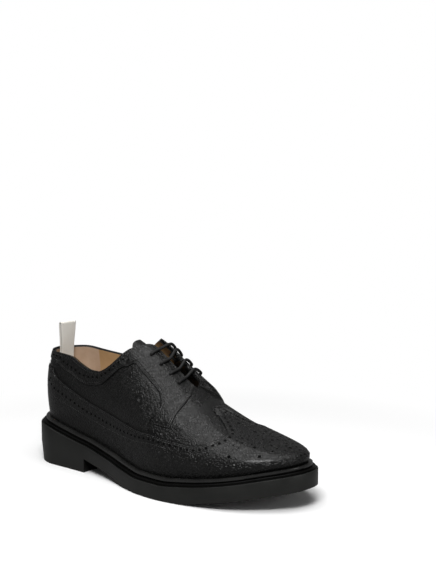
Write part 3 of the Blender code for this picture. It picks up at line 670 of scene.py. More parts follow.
def makeQuarter():
    s = quarterSet
    across = np.linspace(-1, 1, s["columns"])[:, None]
    up = np.linspace(0, 1, s["rows"])[None, :]
    place = across * upperSet["seamPlace"] * np.ones_like(up)
    nearEnd = ease((abs(across) - (1 - s["endShare"])) / s["endShare"])
    for _ in range(s["rounds"]):
        low = wingRun(place) - s["underWing"]
        high = facingInner(place) + s["underFacing"]
        run = low + up * (high - low)
        lean = s["seamLean"] * ease((run - s["leanFrom"]) / s["leanRun"])
        place = across * (upperSet["seamPlace"] + lean * nearEnd)
    rise = np.full_like(run, upperSet["quarterStep"])
    place = np.concatenate([place[:1], place, place[-1:]], 0)
    run = np.concatenate([run[:1], run, run[-1:]], 0)
    rise = np.concatenate([rise[:1] - s["endDrop"], rise, rise[-1:] - s["endDrop"]], 0)
    points, _ = onLast(place, run, rise + liftOf(place, run))
    return gridPiece("quarter", points, upperBlack)


def facingInner(place):
    tau = tauOf(place)
    rising = facingLine["inPlace"][:facingLine["inPlace"].argmax() + 1]
    return endRun(place) - np.interp(tau, rising, facingLine["inWidth"][:len(rising)])


def facingPlace(s, t):
    # s runs from one foot of the facings round the heel to the other, t from the inner edge to the outer
    s, t = np.broadcast_arrays(np.asarray(s, float), np.asarray(t, float))
    side, share = np.sign(s), np.abs(s)
    inPlace = side * smooth(facingLine, "inPlace", share)
    outPlace = side * smooth(facingLine, "outPlace", share)
    inRun = endRun(inPlace) - smooth(facingLine, "inWidth", share)
    outRun = endRun(outPlace) - smooth(facingLine, "outWidth", share)
    return inPlace + (outPlace - inPlace) * t, inRun + (outRun - inRun) * t


facingSet = {"columns": 1250, "rows": 64, "inset": 0.022, "endInset": 0.003, "nearEnd": 0.014,
             "endShrink": 0.2, "endInkAndShade": 0.9995, "frontFrom": 0.80}
facingFall = [(0.0, 1.3), (0.0, 0.5), (0.0012, 0.28), (0.005, 0.13), (0.013, 0.03)]   # share in, depth down


def withFall(middle):
    # shares across the panel with the falling edge at both ends, and how far down each lies
    shares, downs = np.array(facingFall).T
    flat = np.zeros(len(middle))
    return np.concatenate([shares, middle, 1 - shares[::-1]]), np.concatenate([downs, flat, downs[::-1]])


def makeFacing():
    s = facingSet
    wave = 0.5 - 0.5 * np.cos(np.pi * np.linspace(0, 1, s["rows"]))
    shares, downs = withFall(s["inset"] + (1 - 2 * s["inset"]) * wave)
    ends, endDowns = withFall(np.linspace(s["endInset"], 1 - s["endInset"], s["columns"]))
    low, high = s["endShrink"] * ends, 1 - s["endShrink"] * (1 - ends)
    ends = np.where(ends < s["nearEnd"], low, np.where(ends > 1 - s["nearEnd"], high, ends))
    order = np.argsort(ends, kind="stable")
    along = (2 * ends[order] - 1)[:, None]
    down = np.maximum(endDowns[order][:, None], downs[None, :])
    place, run = facingPlace(along, shares[None, :])
    flat, _ = onLast(place, run, 0.0)
    steps = np.linalg.norm(np.diff(flat, axis=1), axis=2)
    fromIn = np.concatenate([np.zeros((len(along), 1)), np.cumsum(steps, 1)], 1)
    down = down + groove(fromIn, grooveSet["places"], grooveSet["depth"])
    down = down + groove(fromIn[:, -1:] - fromIn, (grooveSet["outer"],), grooveSet["fine"])
    points, _ = onLast(place, run, bandRise(place, run) - down)
    piece = gridPiece("facings", points, upperBlack)
    bands = points.shape[1] - 1
    column, band = np.divmod(np.arange(len(piece.data.polygons)), bands)
    share = np.abs(along[column, 0])
    # the inner edge and the ends get the inked edge with painted shade, the front edge a painted highlight
    inner = (band < len(facingFall)) | (share > s["endInkAndShade"])
    front = (band >= bands - len(facingFall)) & (share > s["frontFrom"])
    paintFaces(piece, ["edgeInkAndShade", "edgePaintedHighlight"], np.where(front, 2, np.where(inner, 1, 0)))
    return piece


def makeLining():
    s = liningSet
    columns = s["columns"]
    place = np.arange(columns) * 2 / columns
    end = endRun(place)
    run = np.linspace(0, 1, s["rows"])[None, :] * (end - s["endGap"])[:, None]
    run, up = withEdge(run, np.full_like(run, -last["wall"]), end, s["lip"])
    at = np.repeat(place[:, None], run.shape[1], 1)
    points, _ = onLast(at, run, up + liftOf(at, run))
    piece = gridPiece("lining", points, liningTan, closed=True, flip=True)
    bands = run.shape[1] - 1
    column, band = np.divmod(np.arange(columns * bands), bands)
    left = end[column] - run[column, band]
    ahead = points[column, band, 0] > s["throatFrom"]
    paintFaces(piece, ["edgeBlack"], (left < s["edge"]) | (ahead & (left < s["throatEdge"])))
    return piece


wing = finishPiece(makeWing(), "upper_leather", "upper")
vamp = finishPiece(makeVamp(), "upper_leather", "upper")
quarter = finishPiece(makeQuarter(), "upper_leather", "upper")
facings = finishPiece(makeFacing(), "upper_leather", "upper")
lining = finishPiece(makeLining(), "lining_leather", "upper")
print("stage: upper")

# Sole, welt and insole
soleSet = {"columns": 720, "slack": 0.01, "undercut": 3.5, "undercutReach": 40.0, "bevel": 0.8,
           "softFrom": 0.35, "softIn": 0.25, "tierInset": 2.4, "tierHeight": 2.3, "tierBevel": 0.3,
           "crease": 0.1, "sliver": 0.05, "recessInset": 5.8, "coreInset": 14.6, "coreRise": 2.6,
           "paintedShadeFrom": 4, "sharp": 30}


def makeOutsole():
    s = soleSet
    columns = s["columns"]
    place = np.arange(columns) * 2 / columns
    breast = turnOf(last["heelLength"])
    near = int(round(breast * columns / 2))
    place[near] = breast
    place[columns - near] = 2 - breast
    x = outline(place, 0.0)[0]
    low = np.where(x <= last["heelLength"] + s["slack"], 0.0, soleBottom(x))
    under = s["undercut"] * np.maximum(0, 1 - x / s["undercutReach"]) ** 2
    foot = np.array([outline(p, float(inset)) for p, inset in zip(place, under)])
    loops = [np.column_stack([foot, low])]
    bevel, tier, recess, core = s["bevel"], s["tierInset"], s["recessInset"], s["coreInset"]
    sliver, high = s["sliver"], last["recessHeight"]
    # insets from the outline and rises over the wall's top, from the middle of the wall inwards
    for inset, rise in ((0.0, (low - wallTop(x)) / 2), (0.0, -bevel),
                        (s["softIn"] * bevel, -s["softFrom"] * bevel), (bevel, 0.0),
                        (tier - s["crease"], 0.0), (tier, s["crease"]),
                        (tier, s["tierHeight"] - s["tierBevel"]), (tier + s["tierBevel"], s["tierHeight"]),
                        (recess, s["tierHeight"] + sliver), (recess + sliver, high),
                        (core, high), (core + sliver, high + s["coreRise"])):
        edgeX, edgeY = outline(place, inset)
        loops.append(np.stack([edgeX, edgeY, wallTop(edgeX) + rise], -1))
    side = np.stack(loops, 1)
    rows = side.shape[1]
    points = side.reshape(-1, 3)
    faces = gridFaces(columns, rows, closed=True)
    for row in (0, rows - 1):
        for k in range(columns // 2):
            a, b = k * rows + row, (k + 1) * rows + row
            c, d = (columns - k - 1) % columns * rows + row, (columns - k) % columns * rows + row
            quad = [v for n, v in enumerate((a, b, c, d)) if v not in (a, b, c, d)[:n]]
            if row == 0 and k == near:
                # the breast, a face from the tread up to the arch
                arched = len(points)
                tops = [[*points[v][:2], float(soleBottom(points[v][0]))] for v in (a, d)]
                points = np.vstack([points, tops])
                faces += [(a, d, arched + 1, arched), (a, arched, b), (d, c, arched + 1)]
                quad = [arched, b, c, arched + 1]
            faces.append(tuple(quad[::-1]) if row == 0 else tuple(quad))
    piece = addPiece("outsole.hi", points, faces, smoothFinishes["rubberBlack"])
    # painted shade: the tier and the recess above the wall, where the welt shades them, are blacker
    paintFaces(piece, ["rubberPaintedShade"], [max(face) < columns * rows
                                        and min(v % rows for v in face) >= s["paintedShadeFrom"] for face in faces])
    turnOutward(piece)
    sharpen(piece, s["sharp"])
    return piece


weltSet = {"columns": 720, "round": 0.25, "shoulder": 0.6, "shoulderRound": 0.18, "flat": 2.0, "crown": 0.02,
           "sharp": 40}


def makeWelt():
    s = weltSet
    columns = s["columns"]
    place = np.arange(columns) * 2 / columns
    inner = last["featherInset"] + last["weltReach"]
    edge, thick = last["weltInset"], last["weltThickness"]
    profile = [(inner, 0.0), (edge + s["round"], 0.0), (edge, s["round"]), (edge, thick - s["shoulder"]),
               (edge + s["shoulderRound"], thick - s["shoulderRound"]), (edge + s["shoulder"], thick),
               (edge + s["flat"], thick + s["crown"]), (inner, thick)]
    rows = len(profile)
    points = np.zeros((columns, rows, 3))
    for k, (inset, up) in enumerate(profile):
        x, y = outline(place, inset)
        points[:, k] = np.stack([x, y, weltBottom(x) + up], -1)
    faces = gridFaces(columns, rows, closed=True)
    faces += [(c * rows + rows - 1, (c + 1) % columns * rows + rows - 1, (c + 1) % columns * rows, c * rows)
              for c in range(columns)]
    piece = addPiece("weltStrip", points.reshape(-1, 3), faces, smoothFinishes["weltBlack"])
    sharpen(piece, s["sharp"])
    return piece


sockSet = {"columns": 400, "rows": 24, "play": 0.6, "thickness": 2.5, "dish": 1.2}


def makeSock():
    s = sockSet
    columns = s["columns"]
    half = columns // 2
    place = np.arange(columns) * 2 / columns
    x, y = outline(place, last["featherInset"] + last["wall"] + s["play"])
    edge = np.stack([x, y, upperFoot(x) + s["thickness"]], -1)
    near = edge[:half + 1]
    far = edge[(columns - np.arange(half + 1)) % columns]
    across = np.linspace(0, 1, s["rows"])[None, :, None]
    grid = near[:, None] * (1 - across) + far[:, None] * across
    grid[..., 2] -= s["dish"] * np.sin(np.pi * across[..., 0])
    return gridPiece("sock", grid, liningTan, flip=True)


outsole = finishPiece(makeOutsole(), "black_rubber", "outsole")
welt = finishPiece(makeWelt(), "welt_leather", "welt")
sock = finishPiece(makeSock(), "lining_leather", "insole")
print("stage: sole")

# Tongue
tongueSet = {"columns": 140, "rows": 70, "top": 115.0, "foot": 184.0, "half": 22.0, "round": 0.22,
             "roundPower": 2.4, "tip": 0.35, "thickness": 2.0, "drop": 5.1, "seat": 1.2, "step": 5.0,
             "softDepth": 0.7, "softReach": 1.0, "endSlope": 2, "probe": 0.5}


def lastNormal(x, y):
    step = tongueSet["probe"]
    slopeX = (lastHeight(x + step, y) - lastHeight(x - step, y)) / (2 * step)
    slopeY = (lastHeight(x, y + step) - lastHeight(x, y - step)) / (2 * step)
    normal = np.stack([-slopeX, -slopeY, np.ones_like(slopeX)], -1)
    return normal / np.linalg.norm(normal, axis=-1, keepdims=True)


def makeTongue():
    s = tongueSet
    columns, rows, power = s["columns"], s["rows"], s["roundPower"]
    t = np.linspace(0, 1, columns)[:, None]
    lift = 1 - np.minimum(1, t / s["round"])
    half = s["half"] * (s["tip"] + (1 - s["tip"]) * (1 - lift**power) ** (1 / power))
    across = np.linspace(-1, 1, rows)[None, :]
    x = np.repeat(s["top"] + (s["foot"] - s["top"]) * t, rows, 1)
    y = ridgeLine(x) + half * across
    drop = last["wall"] + s["seat"] + (s["drop"] - s["seat"]) * ease((s["foot"] - s["step"] - x) / s["step"])
    point = np.stack([x, y, lastHeight(x, y)], -1)
    normal = lastNormal(x, y)
    edge = np.minimum((1 - np.abs(across)) * half, (x - s["top"]) * s["endSlope"])
    soft = s["softDepth"] * (1 - np.clip(edge / s["softReach"], 0, 1)) ** 2
    top = point - normal * (drop + soft)[..., None]
    bottom = point - normal * (drop + s["thickness"] - soft)[..., None]
    count = columns * rows
    points = np.concatenate([top.reshape(-1, 3), bottom.reshape(-1, 3)])
    faces = gridFaces(columns, rows) + [tuple(reversed(f)) for f in gridFaces(columns, rows, start=count)]
    rims = [(k * rows + n, (k + 1) * rows + n) for k in range(columns - 1) for n in (0, rows - 1)]
    rims += [(k * rows + n, k * rows + n + 1) for n in range(rows - 1) for k in (0, columns - 1)]
    faces += [(a, count + a, count + b, b) for a, b in rims]
    piece = addPiece("tongueFlap", points, faces, tongueBlack)
    turnOutward(piece)
    return piece


tongue = finishPiece(makeTongue(), "tongue_leather", "tongue")
print("stage: tongue")

# Lace
laceSet = {"bars": 4, "radius": 1.2, "look": 1.4, "holeRadius": 2.3, "first": 140.5, "spacing": 11.4,
           "crowding": 0.75, "setbackLateral": 11.8, "setbackMedial": 9.0, "skew": 5.0, "clearance": 0.6,
           "rest": 0.3, "turnIn": 0.3, "crossFrom": 0.5, "sides": 12, "steps": 10}


def facingPoint(x, side, setback, rise):
    place = turnOf(x, last["wideInset"])
    place = place if side < 0 else 2 - place
    run = endRun(place) - setback
    point, _ = onLast(place, run, 0.0)
    return point + lastNormal(point[0], point[1]) * rise


def laceStops():
    s = laceSet
    stops = []
    for n in range(s["bars"]):
        column = s["first"] + s["spacing"] * n + s["crowding"] * n * (n - 1) / 2
        sides = (-1, 1) if n % 2 == 0 else (1, -1)
        for turn, side in enumerate(sides):
            x = column - (s["skew"] if side > 0 and n > 0 else 0.0)
            full = upperSet["lateralLift"] if side < 0 else upperSet["medialLift"]
            over = full + upperSet["quarterStep"] + upperSet["bandStep"] + s["radius"] + s["rest"]
            under = full - last["wall"] - s["radius"] - 1.5 * s["clearance"]
            setback = s["setbackLateral"] if side < 0 else s["setbackMedial"]
            climb = [facingPoint(x, side, setback, under),
                     facingPoint(x, side, setback, full - last["wall"] - last["gap"]),
                     facingPoint(x, side, setback, full),
                     facingPoint(x, side, setback - s["turnIn"] * s["holeRadius"], over),
                     facingPoint(x, side, s["crossFrom"], over + s["rest"])]
            stops += climb if turn == 0 else climb[::-1]
    return stops


def smoothRoute(stops, steps):
    stops = [2 * stops[0] - stops[1]] + stops + [2 * stops[-1] - stops[-2]]
    route = []
    for a, b, c, d in zip(stops, stops[1:], stops[2:], stops[3:]):
        for k in range(steps):
            t = k / steps
            route.append(0.5 * (2 * b + (c - a) * t + (2 * a - 5 * b + 4 * c - d) * t**2
                                + (3 * b - a - 3 * c + d) * t**3))
    return np.array(route + [stops[-2]])


def tubeAlong(name, route, radius, sides, surface):
    tangent = np.gradient(route, axis=0)
    tangent /= np.linalg.norm(tangent, axis=1, keepdims=True)
    across = np.cross(tangent[0], (0.0, 0.0, 1.0))
    angle = np.arange(sides)[:, None] * 2 * math.pi / sides
    rings = []
    for t in tangent:
        across = across - t * np.dot(across, t)
        across /= np.linalg.norm(across)
        rings.append(across * np.cos(angle) + np.cross(t, across) * np.sin(angle))
    points = route[:, None] + np.array(rings) * radius
    count = len(route)
    faces = []
    for k in range(count - 1):
        for n in range(sides):
            m = (n + 1) % sides
            faces.append((k * sides + n, k * sides + m, (k + 1) * sides + m, (k + 1) * sides + n))
    faces.append(tuple(range(sides))[::-1])
    faces.append(tuple((count - 1) * sides + n for n in range(sides)))
    length = np.concatenate([[0], np.cumsum(np.linalg.norm(np.diff(route, axis=0), axis=1))]) / perMetre
    uv = np.zeros((count, sides, 2))
    uv[..., 0] = length[:, None]
    uv[..., 1] = np.arange(sides)[None, :] / sides
    piece = addPiece(name, points.reshape(-1, 3), faces, surface, uv.reshape(-1, 2))
    turnOutward(piece)
    return piece


lace = finishPiece(tubeAlong("laceCord", smoothRoute(laceStops(), laceSet["steps"]), laceSet["look"],
                             laceSet["sides"], smoothFinishes["laceBlack"]), "lace_cord", "lace")
print("stage: lace")

# Pull tab, a plain ribbed ribbon loop sewn inside the back of the collar
tabSet = {"width": 15.5, "height": 26.0, "ply": 1.0, "loop": 3.4, "tuck": 15.0, "offWall": 1.6, "lean": 3.0,
          "flare": 1.5, "turn": 7.0, "bends": 25, "lengths": 60, "widths": 26}


def makeTab():
    s = tabSet
    rim = readSkin(lastSkin["points"], 0.0, endRun(0.0))
    lean = math.radians(s["lean"])
    along = np.array([math.sin(lean), math.cos(lean)])
    inward = np.array([along[1], -along[0]])
    off = last["wall"] + s["offWall"] + s["loop"] / 2
    start = np.array([rim[0], rim[2]]) + inward * off - along * s["tuck"]
    reach = s["tuck"] + s["height"] - s["loop"] / 2
    arc = np.linspace(0, math.pi, s["bends"])
    straight = np.linspace(0, reach, s["lengths"])[:-1]

    def ribbonSide(radius):
        up = [(u, -radius) for u in straight]
        bend = [(reach + math.sin(a) * radius, -math.cos(a) * radius) for a in arc]
        return np.array(up + bend + [(u, radius) for u in straight[::-1]])

    outer, inner = ribbonSide(s["loop"] / 2), ribbonSide(s["loop"] / 2 - s["ply"])
    profile = np.concatenate([outer, inner[::-1]])
    flat = start[None, :] + profile[:, :1] * along[None, :] + profile[:, 1:] * inward[None, :]
    across = np.linspace(-s["width"] / 2, s["width"] / 2, s["widths"])
    count, rows = len(flat), len(across)
    points = np.zeros((count, rows, 3))
    high = ease((profile[:, 0] - s["tuck"]) / s["height"])[:, None]
    points[..., 1] = across[None, :] * (1 + high * s["flare"] / s["width"])
    points[..., 0] = flat[:, 0][:, None] + np.sin(high * math.radians(s["turn"])) * points[..., 1]
    points[..., 2] = flat[:, 1][:, None]
    faces = gridFaces(count, rows, closed=True)
    for n in (0, rows - 1):
        for k in range(len(outer) - 1):
            back = (count - k - 1) * rows + n
            faces.append((k * rows + n, (k + 1) * rows + n, back - rows, back))
    piece = addPiece("tabLoop", points.reshape(-1, 3), faces, ribbonPlain)
    turnOutward(piece)
    return piece


ribbonSet = {"pitch": 0.0009, "low": (0.66, 0.63, 0.56), "high": (0.90, 0.88, 0.83), "highFrom": 0.8,
             "strength": 0.6, "depth": 0.00025, "rough": 0.75}   # pitch and depth in metres


def makeRibbon(name):
    s = ribbonSet
    surface, tree, shader = newMaterial(name)
    height = addNode(tree, "ShaderNodeSeparateXYZ", {"Vector": objectPlace(tree)}).outputs["Z"]
    turns = addNode(tree, "ShaderNodeMath", {0: height, 1: 2 * math.pi / s["pitch"]}, operation="MULTIPLY")
    wave = addNode(tree, "ShaderNodeMath", {0: turns.outputs[0]}, operation="SINE")
    ribs = between(tree, wave.outputs[0], -1.0, 1.0)
    # painted shade: the colour is darker (low) in the hollows between the ribs than on their crests (high)
    feed(tree, shader, {
        "Base Color": colorRamp(tree, ribs, [(0.0, s["low"]), (s["highFrom"], s["high"])]),
        "Normal": bump(tree, ribs, s["strength"], s["depth"]),
        "Roughness": s["rough"],
    })
    return surface


ribbonPlain = makeRibbon("ribbonPlain")
tab = finishPiece(makeTab(), "tab_ribbon", "pull_tab")
print("stage: pull tab")

# Seam lines on the upper, then stitches and holes along them
seamSet = {"samples": 900, "moveSteps": 3, "placeProbe": 0.002, "runProbe": 0.3, "start": 0.5}
stitchSet = {"pitch": 2.3, "length": 1.7, "wide": 0.42, "facing": (1.3, 2.6), "facingEnd": 0.995,
             "proud": 0.04, "fineProud": 0.02}
holeSet = {"pitch": 5.9, "radius": 1.1, "peakGrow": 0.25, "peakFrom": 215.0, "peakRun": 15.0, "hover": 0.05,
           "collarEnd": 0.456}
holeOffset = table("along off fine", [
    (0.000, 13.0, 6.5), (0.168, 13.0, 7.0), (0.220, 11.5, 7.0), (0.250, 10.5, 6.5), (0.320, 10.2, 5.0),
    (0.390, 9.8, 5.2), (0.440, 9.0, 4.8), (0.490, 7.0, 4.2), (0.550, 4.8, 3.6), (0.660, 4.2, 3.4),
    (0.750, 4.8, 3.6), (1.000, 5.4, 3.8)])
collarHoles = table("along width", [
    (0.000, 3.4), (0.200, 3.4), (0.224, 6.6), (0.244, 8.3), (0.264, 9.6), (0.284, 9.4), (0.304, 8.7),
    (0.324, 7.4), (0.344, 6.0), (0.368, 5.2), (0.388, 5.0), (0.408, 5.6), (0.424, 8.2), (0.440, 14.3),
    (0.452, 22.5), (0.458, 30.0)])


def seamMove(place, run, distance):
    # shifts a line over the surface, square to its own direction; a positive distance is to its left
    place, run = np.array(place, float), np.array(run, float)
    distance = np.broadcast_to(np.asarray(distance, float), place.shape) / seamSet["moveSteps"]
    aside, up = seamSet["placeProbe"], seamSet["runProbe"]
    for _ in range(seamSet["moveSteps"]):
        spot, normal = onLast(place, run, 0.0)
        side = np.cross(normal, np.gradient(spot, axis=0))
        side /= np.maximum(np.linalg.norm(side, axis=1, keepdims=True), smallest)
        byPlace = (onLast(place + aside, run, 0.0)[0] - spot) / aside
        byRun = (onLast(place, run + up, 0.0)[0] - onLast(place, run - up, 0.0)[0]) / (2 * up)
        want = side * distance[:, None]
        pp, pr, rr = (byPlace**2).sum(1), (byPlace * byRun).sum(1), (byRun**2).sum(1)
        wp, wr = (want * byPlace).sum(1), (want * byRun).sum(1)
        det = np.maximum(pp * rr - pr * pr, smallest)
        place = place + (wp * rr - wr * pr) / det
        run = run + (wr * pp - wp * pr) / det
    return place, run


def alongSeam(place, run, rise, pitch):
    # points, normals and directions at even steps along a line on the upper
    rise = np.broadcast_to(rise, np.shape(place))
    spot, normal = onLast(place, run, rise)
    length = np.concatenate([[0], np.cumsum(np.linalg.norm(np.diff(spot, axis=0), axis=1))])
    count = max(2, int(length[-1] / pitch))
    at = (np.arange(count) + seamSet["start"]) * length[-1] / count

    def read(values):
        return np.stack([np.interp(at, length, values[:, k]) for k in range(3)], -1)

    points, normals, ahead = read(spot), read(normal), read(np.gradient(spot, axis=0))
    ahead /= np.linalg.norm(ahead, axis=1, keepdims=True)
    normals /= np.linalg.norm(normals, axis=1, keepdims=True)
    return points, normals, ahead


def makeInstancer(name, makeShape):
    # puts a shape on each point of a guide mesh, turned by the guide's normal and its direction
    tree = bpy.data.node_groups.new(name, "GeometryNodeTree")
    face = tree.interface
    face.new_socket("Guide", in_out="INPUT", socket_type="NodeSocketGeometry")
    sockets = {}
    for label, kind in (("Length", "Float"), ("Width", "Float"), ("Depth", "Float"), ("Finish", "Material")):
        made = face.new_socket(label, in_out="INPUT", socket_type="NodeSocket" + kind)
        sockets[label] = made.identifier
    face.new_socket("Geometry", in_out="OUTPUT", socket_type="NodeSocketGeometry")
    given = tree.nodes.new("NodeGroupInput").outputs

    def attribute(label, kind):
        named = addNode(tree, "GeometryNodeInputNamedAttribute", {"Name": label}, data_type=kind)
        return named.outputs["Attribute"]

    spots = addNode(tree, "GeometryNodeMeshToPoints", {"Mesh": given["Guide"]})
    axes = addNode(tree, "FunctionNodeAxesToRotation", {0: attribute("seamNormal", "FLOAT_VECTOR"),
                                                        1: attribute("seamAhead", "FLOAT_VECTOR")},
                   primary_axis="Z", secondary_axis="X")
    size = addNode(tree, "ShaderNodeCombineXYZ",
                   {"X": given["Length"], "Y": given["Width"], "Z": given["Depth"]})
    grow = addNode(tree, "ShaderNodeVectorMath", operation="SCALE")
    feed(tree, grow, {0: size.outputs["Vector"], "Scale": attribute("seamSize", "FLOAT")})
    placed = addNode(tree, "GeometryNodeInstanceOnPoints", {
        "Points": spots.outputs["Points"], "Instance": makeShape(tree), "Rotation": axes.outputs["Rotation"],
        "Scale": grow.outputs["Vector"]})
    solid = addNode(tree, "GeometryNodeRealizeInstances", {"Geometry": placed.outputs["Instances"]})
    finish = addNode(tree, "GeometryNodeSetMaterial", {"Geometry": solid.outputs["Geometry"],
                                                       "Material": given["Finish"]})
    addNode(tree, "NodeGroupOutput", {"Geometry": finish.outputs["Geometry"]})
    return tree, sockets


def stitchShape(tree):
    inputs = {"Segments": 6, "Rings": 4, "Radius": 0.5}
    return addNode(tree, "GeometryNodeMeshUVSphere", inputs).outputs["Mesh"]


def discShape(tree):
    circle = addNode(tree, "GeometryNodeCurvePrimitiveCircle", {"Resolution": 12, "Radius": 0.5})
    return addNode(tree, "GeometryNodeFillCurve", {"Curve": circle.outputs["Curve"]}).outputs["Mesh"]


def scatter(name, seams, makeShape, length, width, surface):
    points = np.concatenate([seam[0] for seam in seams])
    guide = bpy.data.meshes.new(name + "Guide")
    guide.from_pydata([tuple(p) for p in toFrame(points)], [], [])
    for label, k in (("seamNormal", 1), ("seamAhead", 2)):
        values = np.concatenate([seam[k] for seam in seams]).astype(np.float32)
        guide.attributes.new(label, "FLOAT_VECTOR", "POINT").data.foreach_set("vector", values.ravel())
    scales = np.concatenate([seam[3] if len(seam) > 3 else np.ones(len(seam[0])) for seam in seams])
    guide.attributes.new("seamSize", "FLOAT", "POINT").data.foreach_set("value", scales.astype(np.float32))
    holder = bpy.data.objects.new(name + "Guide", guide)
    bpy.context.collection.objects.link(holder)
    tree, sockets = makeInstancer(name + "Maker", makeShape)
    modifier = holder.modifiers.new(name, "NODES")
    modifier.node_group = tree
    for label, value in (("Length", length), ("Width", width), ("Depth", width)):
        modifier[sockets[label]] = value / perMetre
    modifier[sockets["Finish"]] = surface
    bpy.context.view_layer.update()
    graph = bpy.context.evaluated_depsgraph_get()
    mesh = bpy.data.meshes.new_from_object(holder.evaluated_get(graph))
    bpy.data.objects.remove(holder, do_unlink=True)
    for label in ("seamNormal", "seamAhead", "seamSize"):
        if label in mesh.attributes:
            mesh.attributes.remove(mesh.attributes[label])
    mesh.shade_smooth()
    piece = bpy.data.objects.new(name, mesh)
    bpy.context.collection.objects.link(piece)
    return finishPiece(piece, "upper_leather", "upper")


def wingLine():
    place = np.linspace(0, 2, 2 * seamSet["samples"])
    return place, wingRun(place)


def facingRow(reach, t, move):
    s = np.linspace(-reach, reach, seamSet["samples"])
    return seamMove(*facingPlace(s, np.full_like(s, t)), move)

def makeStitches():
    place, run = wingLine()
    proud = stitchSet["proud"]
    rows = []

    def addRow(line, rise):
        rows.append(alongSeam(*line, rise, stitchSet["pitch"]))

    for away in grooveSet["places"]:
        line = seamMove(place, run, -away)
        addRow(line, wingRise(line[0]) + proud)
    off = smooth(holeOffset, "off", tauOf(place)) + smooth(holeOffset, "fine", tauOf(place))
    line = seamMove(place, run, -off)
    addRow(line, wingRise(line[0]) + stitchSet["fineProud"])
    for away in stitchSet["facing"]:
        line = facingRow(1.0, 0.0, away)
        addRow(line, bandRise(*line) + proud)
    line = facingRow(stitchSet["facingEnd"], 1.0, -grooveSet["outer"])
    addRow(line, bandRise(*line) + proud)
    return rows


def makeHoles():
    s = holeSet
    place, run = wingLine()
    line = seamMove(place, run, -smooth(holeOffset, "off", tauOf(place)))
    wingSpots = alongSeam(*line, wingRise(line[0]) + s["hover"], s["pitch"])
    ahead = ease((wingSpots[0][:, 0] - s["peakFrom"]) / s["peakRun"])
    span = np.linspace(-s["collarEnd"], s["collarEnd"], seamSet["samples"])
    run = endRun(span) - smooth(collarHoles, "width", np.abs(span))
    collarSpots = alongSeam(span, run, bandRise(span, run) + s["hover"], s["pitch"])
    return [(*wingSpots, 1 + s["peakGrow"] * ahead), collarSpots]


medallion = table("along across size", [
    (228.0, 0.0, 1.25), (245.0, 0.0, 1.45), (281.0, 0.0, 1.40), (263.0, 0.0, 1.20), (261.6, 22.8, 1.40),
    (249.1, 40.0, 1.30), (270.9, 28.4, 1.35), (247.6, 11.7, 0.8), (245.9, 18.4, 0.8), (245.0, 24.8, 0.8),
    (246.0, 30.8, 0.8), (251.6, 31.0, 0.8), (250.8, 17.6, 0.8), (250.4, 24.5, 0.8), (257.6, 21.0, 0.8),
    (260.6, 14.6, 0.8), (253.6, 10.2, 0.8), (251.0, 4.0, 0.8), (258.0, 6.4, 0.8), (264.6, 5.4, 0.8),
    (269.0, 10.2, 0.8), (270.0, 0.0, 0.8), (273.4, 5.6, 0.8), (276.8, 0.0, 0.8), (275.6, 10.9, 0.8),
    (267.0, 17.8, 0.8), (275.6, 17.2, 0.8), (281.5, 8.3, 0.8), (287.4, 4.0, 0.8), (293.2, 2.4, 0.8)])
toeCentre = 1.5


def makeMedallion():
    spots, sizes = [], []
    for x, across, size in zip(medallion["along"], medallion["across"], medallion["size"]):
        for side in ((-1, 1) if across else (1,)):
            spots.append((x, float(swing(x)) + toeCentre + side * across))
            sizes.append(size)
    spots = np.array(spots)
    normal = lastNormal(spots[:, 0], spots[:, 1])
    points = np.column_stack([spots, lastHeight(spots[:, 0], spots[:, 1])])
    points = points + normal * (upperSet["wingStep"] + holeSet["hover"])
    ahead = np.cross(normal, np.array([0.0, 1.0, 0.0]))
    ahead /= np.linalg.norm(ahead, axis=1, keepdims=True)
    return points, normal, ahead, np.array(sizes)


stitches = scatter("stitches", makeStitches(), stitchShape, stitchSet["length"], stitchSet["wide"],
                   smoothFinishes["threadBlackAndHighlight"])
# the holes are flat discs of painted shade laid on the leather
holeDiscs = scatter("holes", makeHoles() + [makeMedallion()], discShape, 2 * holeSet["radius"],
                    2 * holeSet["radius"], smoothFinishes["holePaintedShade"])
print("stage: stitches and perforations", len(stitches.data.polygons), len(holeDiscs.data.polygons))

# Floor and light
stageSet = {"floor": 6.4, "near": 0.95, "bounce": 0.25, "clearFrom": 0.25, "clearTo": 0.40, "world": 0.13}
lampSet = {
    "overhead": {"place": (0.0, -0.10, 1.20), "aim": (0.0, 0.0, 0.05), "power": 12.5, "size": (1.35, 1.15)},
    "spark": {"place": (0.48, -0.66, 0.92), "aim": (0.11, -0.03, 0.05), "power": 9.0, "size": (0.46, 0.28)},
    "right": {"place": (1.30, 0.10, 0.42), "aim": (0.12, 0.0, 0.03), "power": 1.6, "size": (0.35, 0.5)},
}


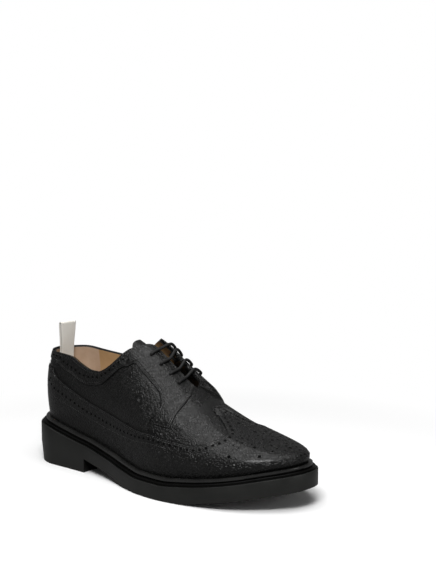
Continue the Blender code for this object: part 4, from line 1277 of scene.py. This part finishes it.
def byRay(tree, toCamera, toRest, output):
    # what the camera sees, and what every other ray meets
    ray = tree.nodes.new("ShaderNodeLightPath").outputs["Is Camera Ray"]
    both = addNode(tree, "ShaderNodeMixShader", {"Fac": ray, 1: toRest, 2: toCamera})
    feed(tree, tree.nodes[output], {"Surface": both.outputs[0]})


def gray(level):
    return (level, level, level, 1.0)


def makeFloor():
    s = stageSet
    half = s["floor"]
    corners = [(-half, -half, 0), (half, -half, 0), (half, half, 0), (-half, half, 0)]
    mesh = bpy.data.meshes.new("floor")
    mesh.from_pydata(corners, [], [(0, 1, 2, 3)])
    surface, tree, shader = newMaterial("floorWhite")
    far = addNode(tree, "ShaderNodeVectorMath", {0: objectPlace(tree)}, operation="LENGTH")
    clear = between(tree, far.outputs["Value"], s["clearFrom"], s["clearTo"])
    feed(tree, shader, {"Base Color": gray(s["near"]), "Roughness": 0.9, "Specular IOR Level": 0.0})
    white = tree.nodes.new("ShaderNodeEmission").outputs[0]
    seen = addNode(tree, "ShaderNodeMixShader", {"Fac": clear, 1: shader.outputs[0], 2: white})
    bounce = addNode(tree, "ShaderNodeBsdfDiffuse", {"Color": gray(s["bounce"])})
    byRay(tree, seen.outputs[0], bounce.outputs[0], "Material Output")
    mesh.materials.append(surface)
    floor = bpy.data.objects.new("floor", mesh)
    bpy.context.collection.objects.link(floor)


def addLamp(name, values):
    data = bpy.data.lights.new(name, "AREA")
    data.energy = values["power"]
    data.shape = "RECTANGLE"
    data.size, data.size_y = values["size"]
    lamp = bpy.data.objects.new(name, data)
    lamp.location = values["place"]
    aim = Vector(values["aim"]) - Vector(values["place"])
    lamp.rotation_euler = aim.to_track_quat("-Z", "Y").to_euler()
    bpy.context.collection.objects.link(lamp)


def makeWorld():
    world = bpy.data.worlds.new("studio")
    bpy.context.scene.world = world
    world.use_nodes = True
    tree = world.node_tree
    back = tree.nodes["Background"]
    feed(tree, back, {"Color": gray(1.0), "Strength": stageSet["world"]})
    seen = addNode(tree, "ShaderNodeBackground", {"Color": gray(1.0), "Strength": 1.0})
    byRay(tree, seen.outputs[0], back.outputs[0], "World Output")


makeFloor()
makeWorld()
for name, values in lampSet.items():
    addLamp(name, values)
bpy.context.scene.view_settings.view_transform = "Standard"
print("stage: floor and light")
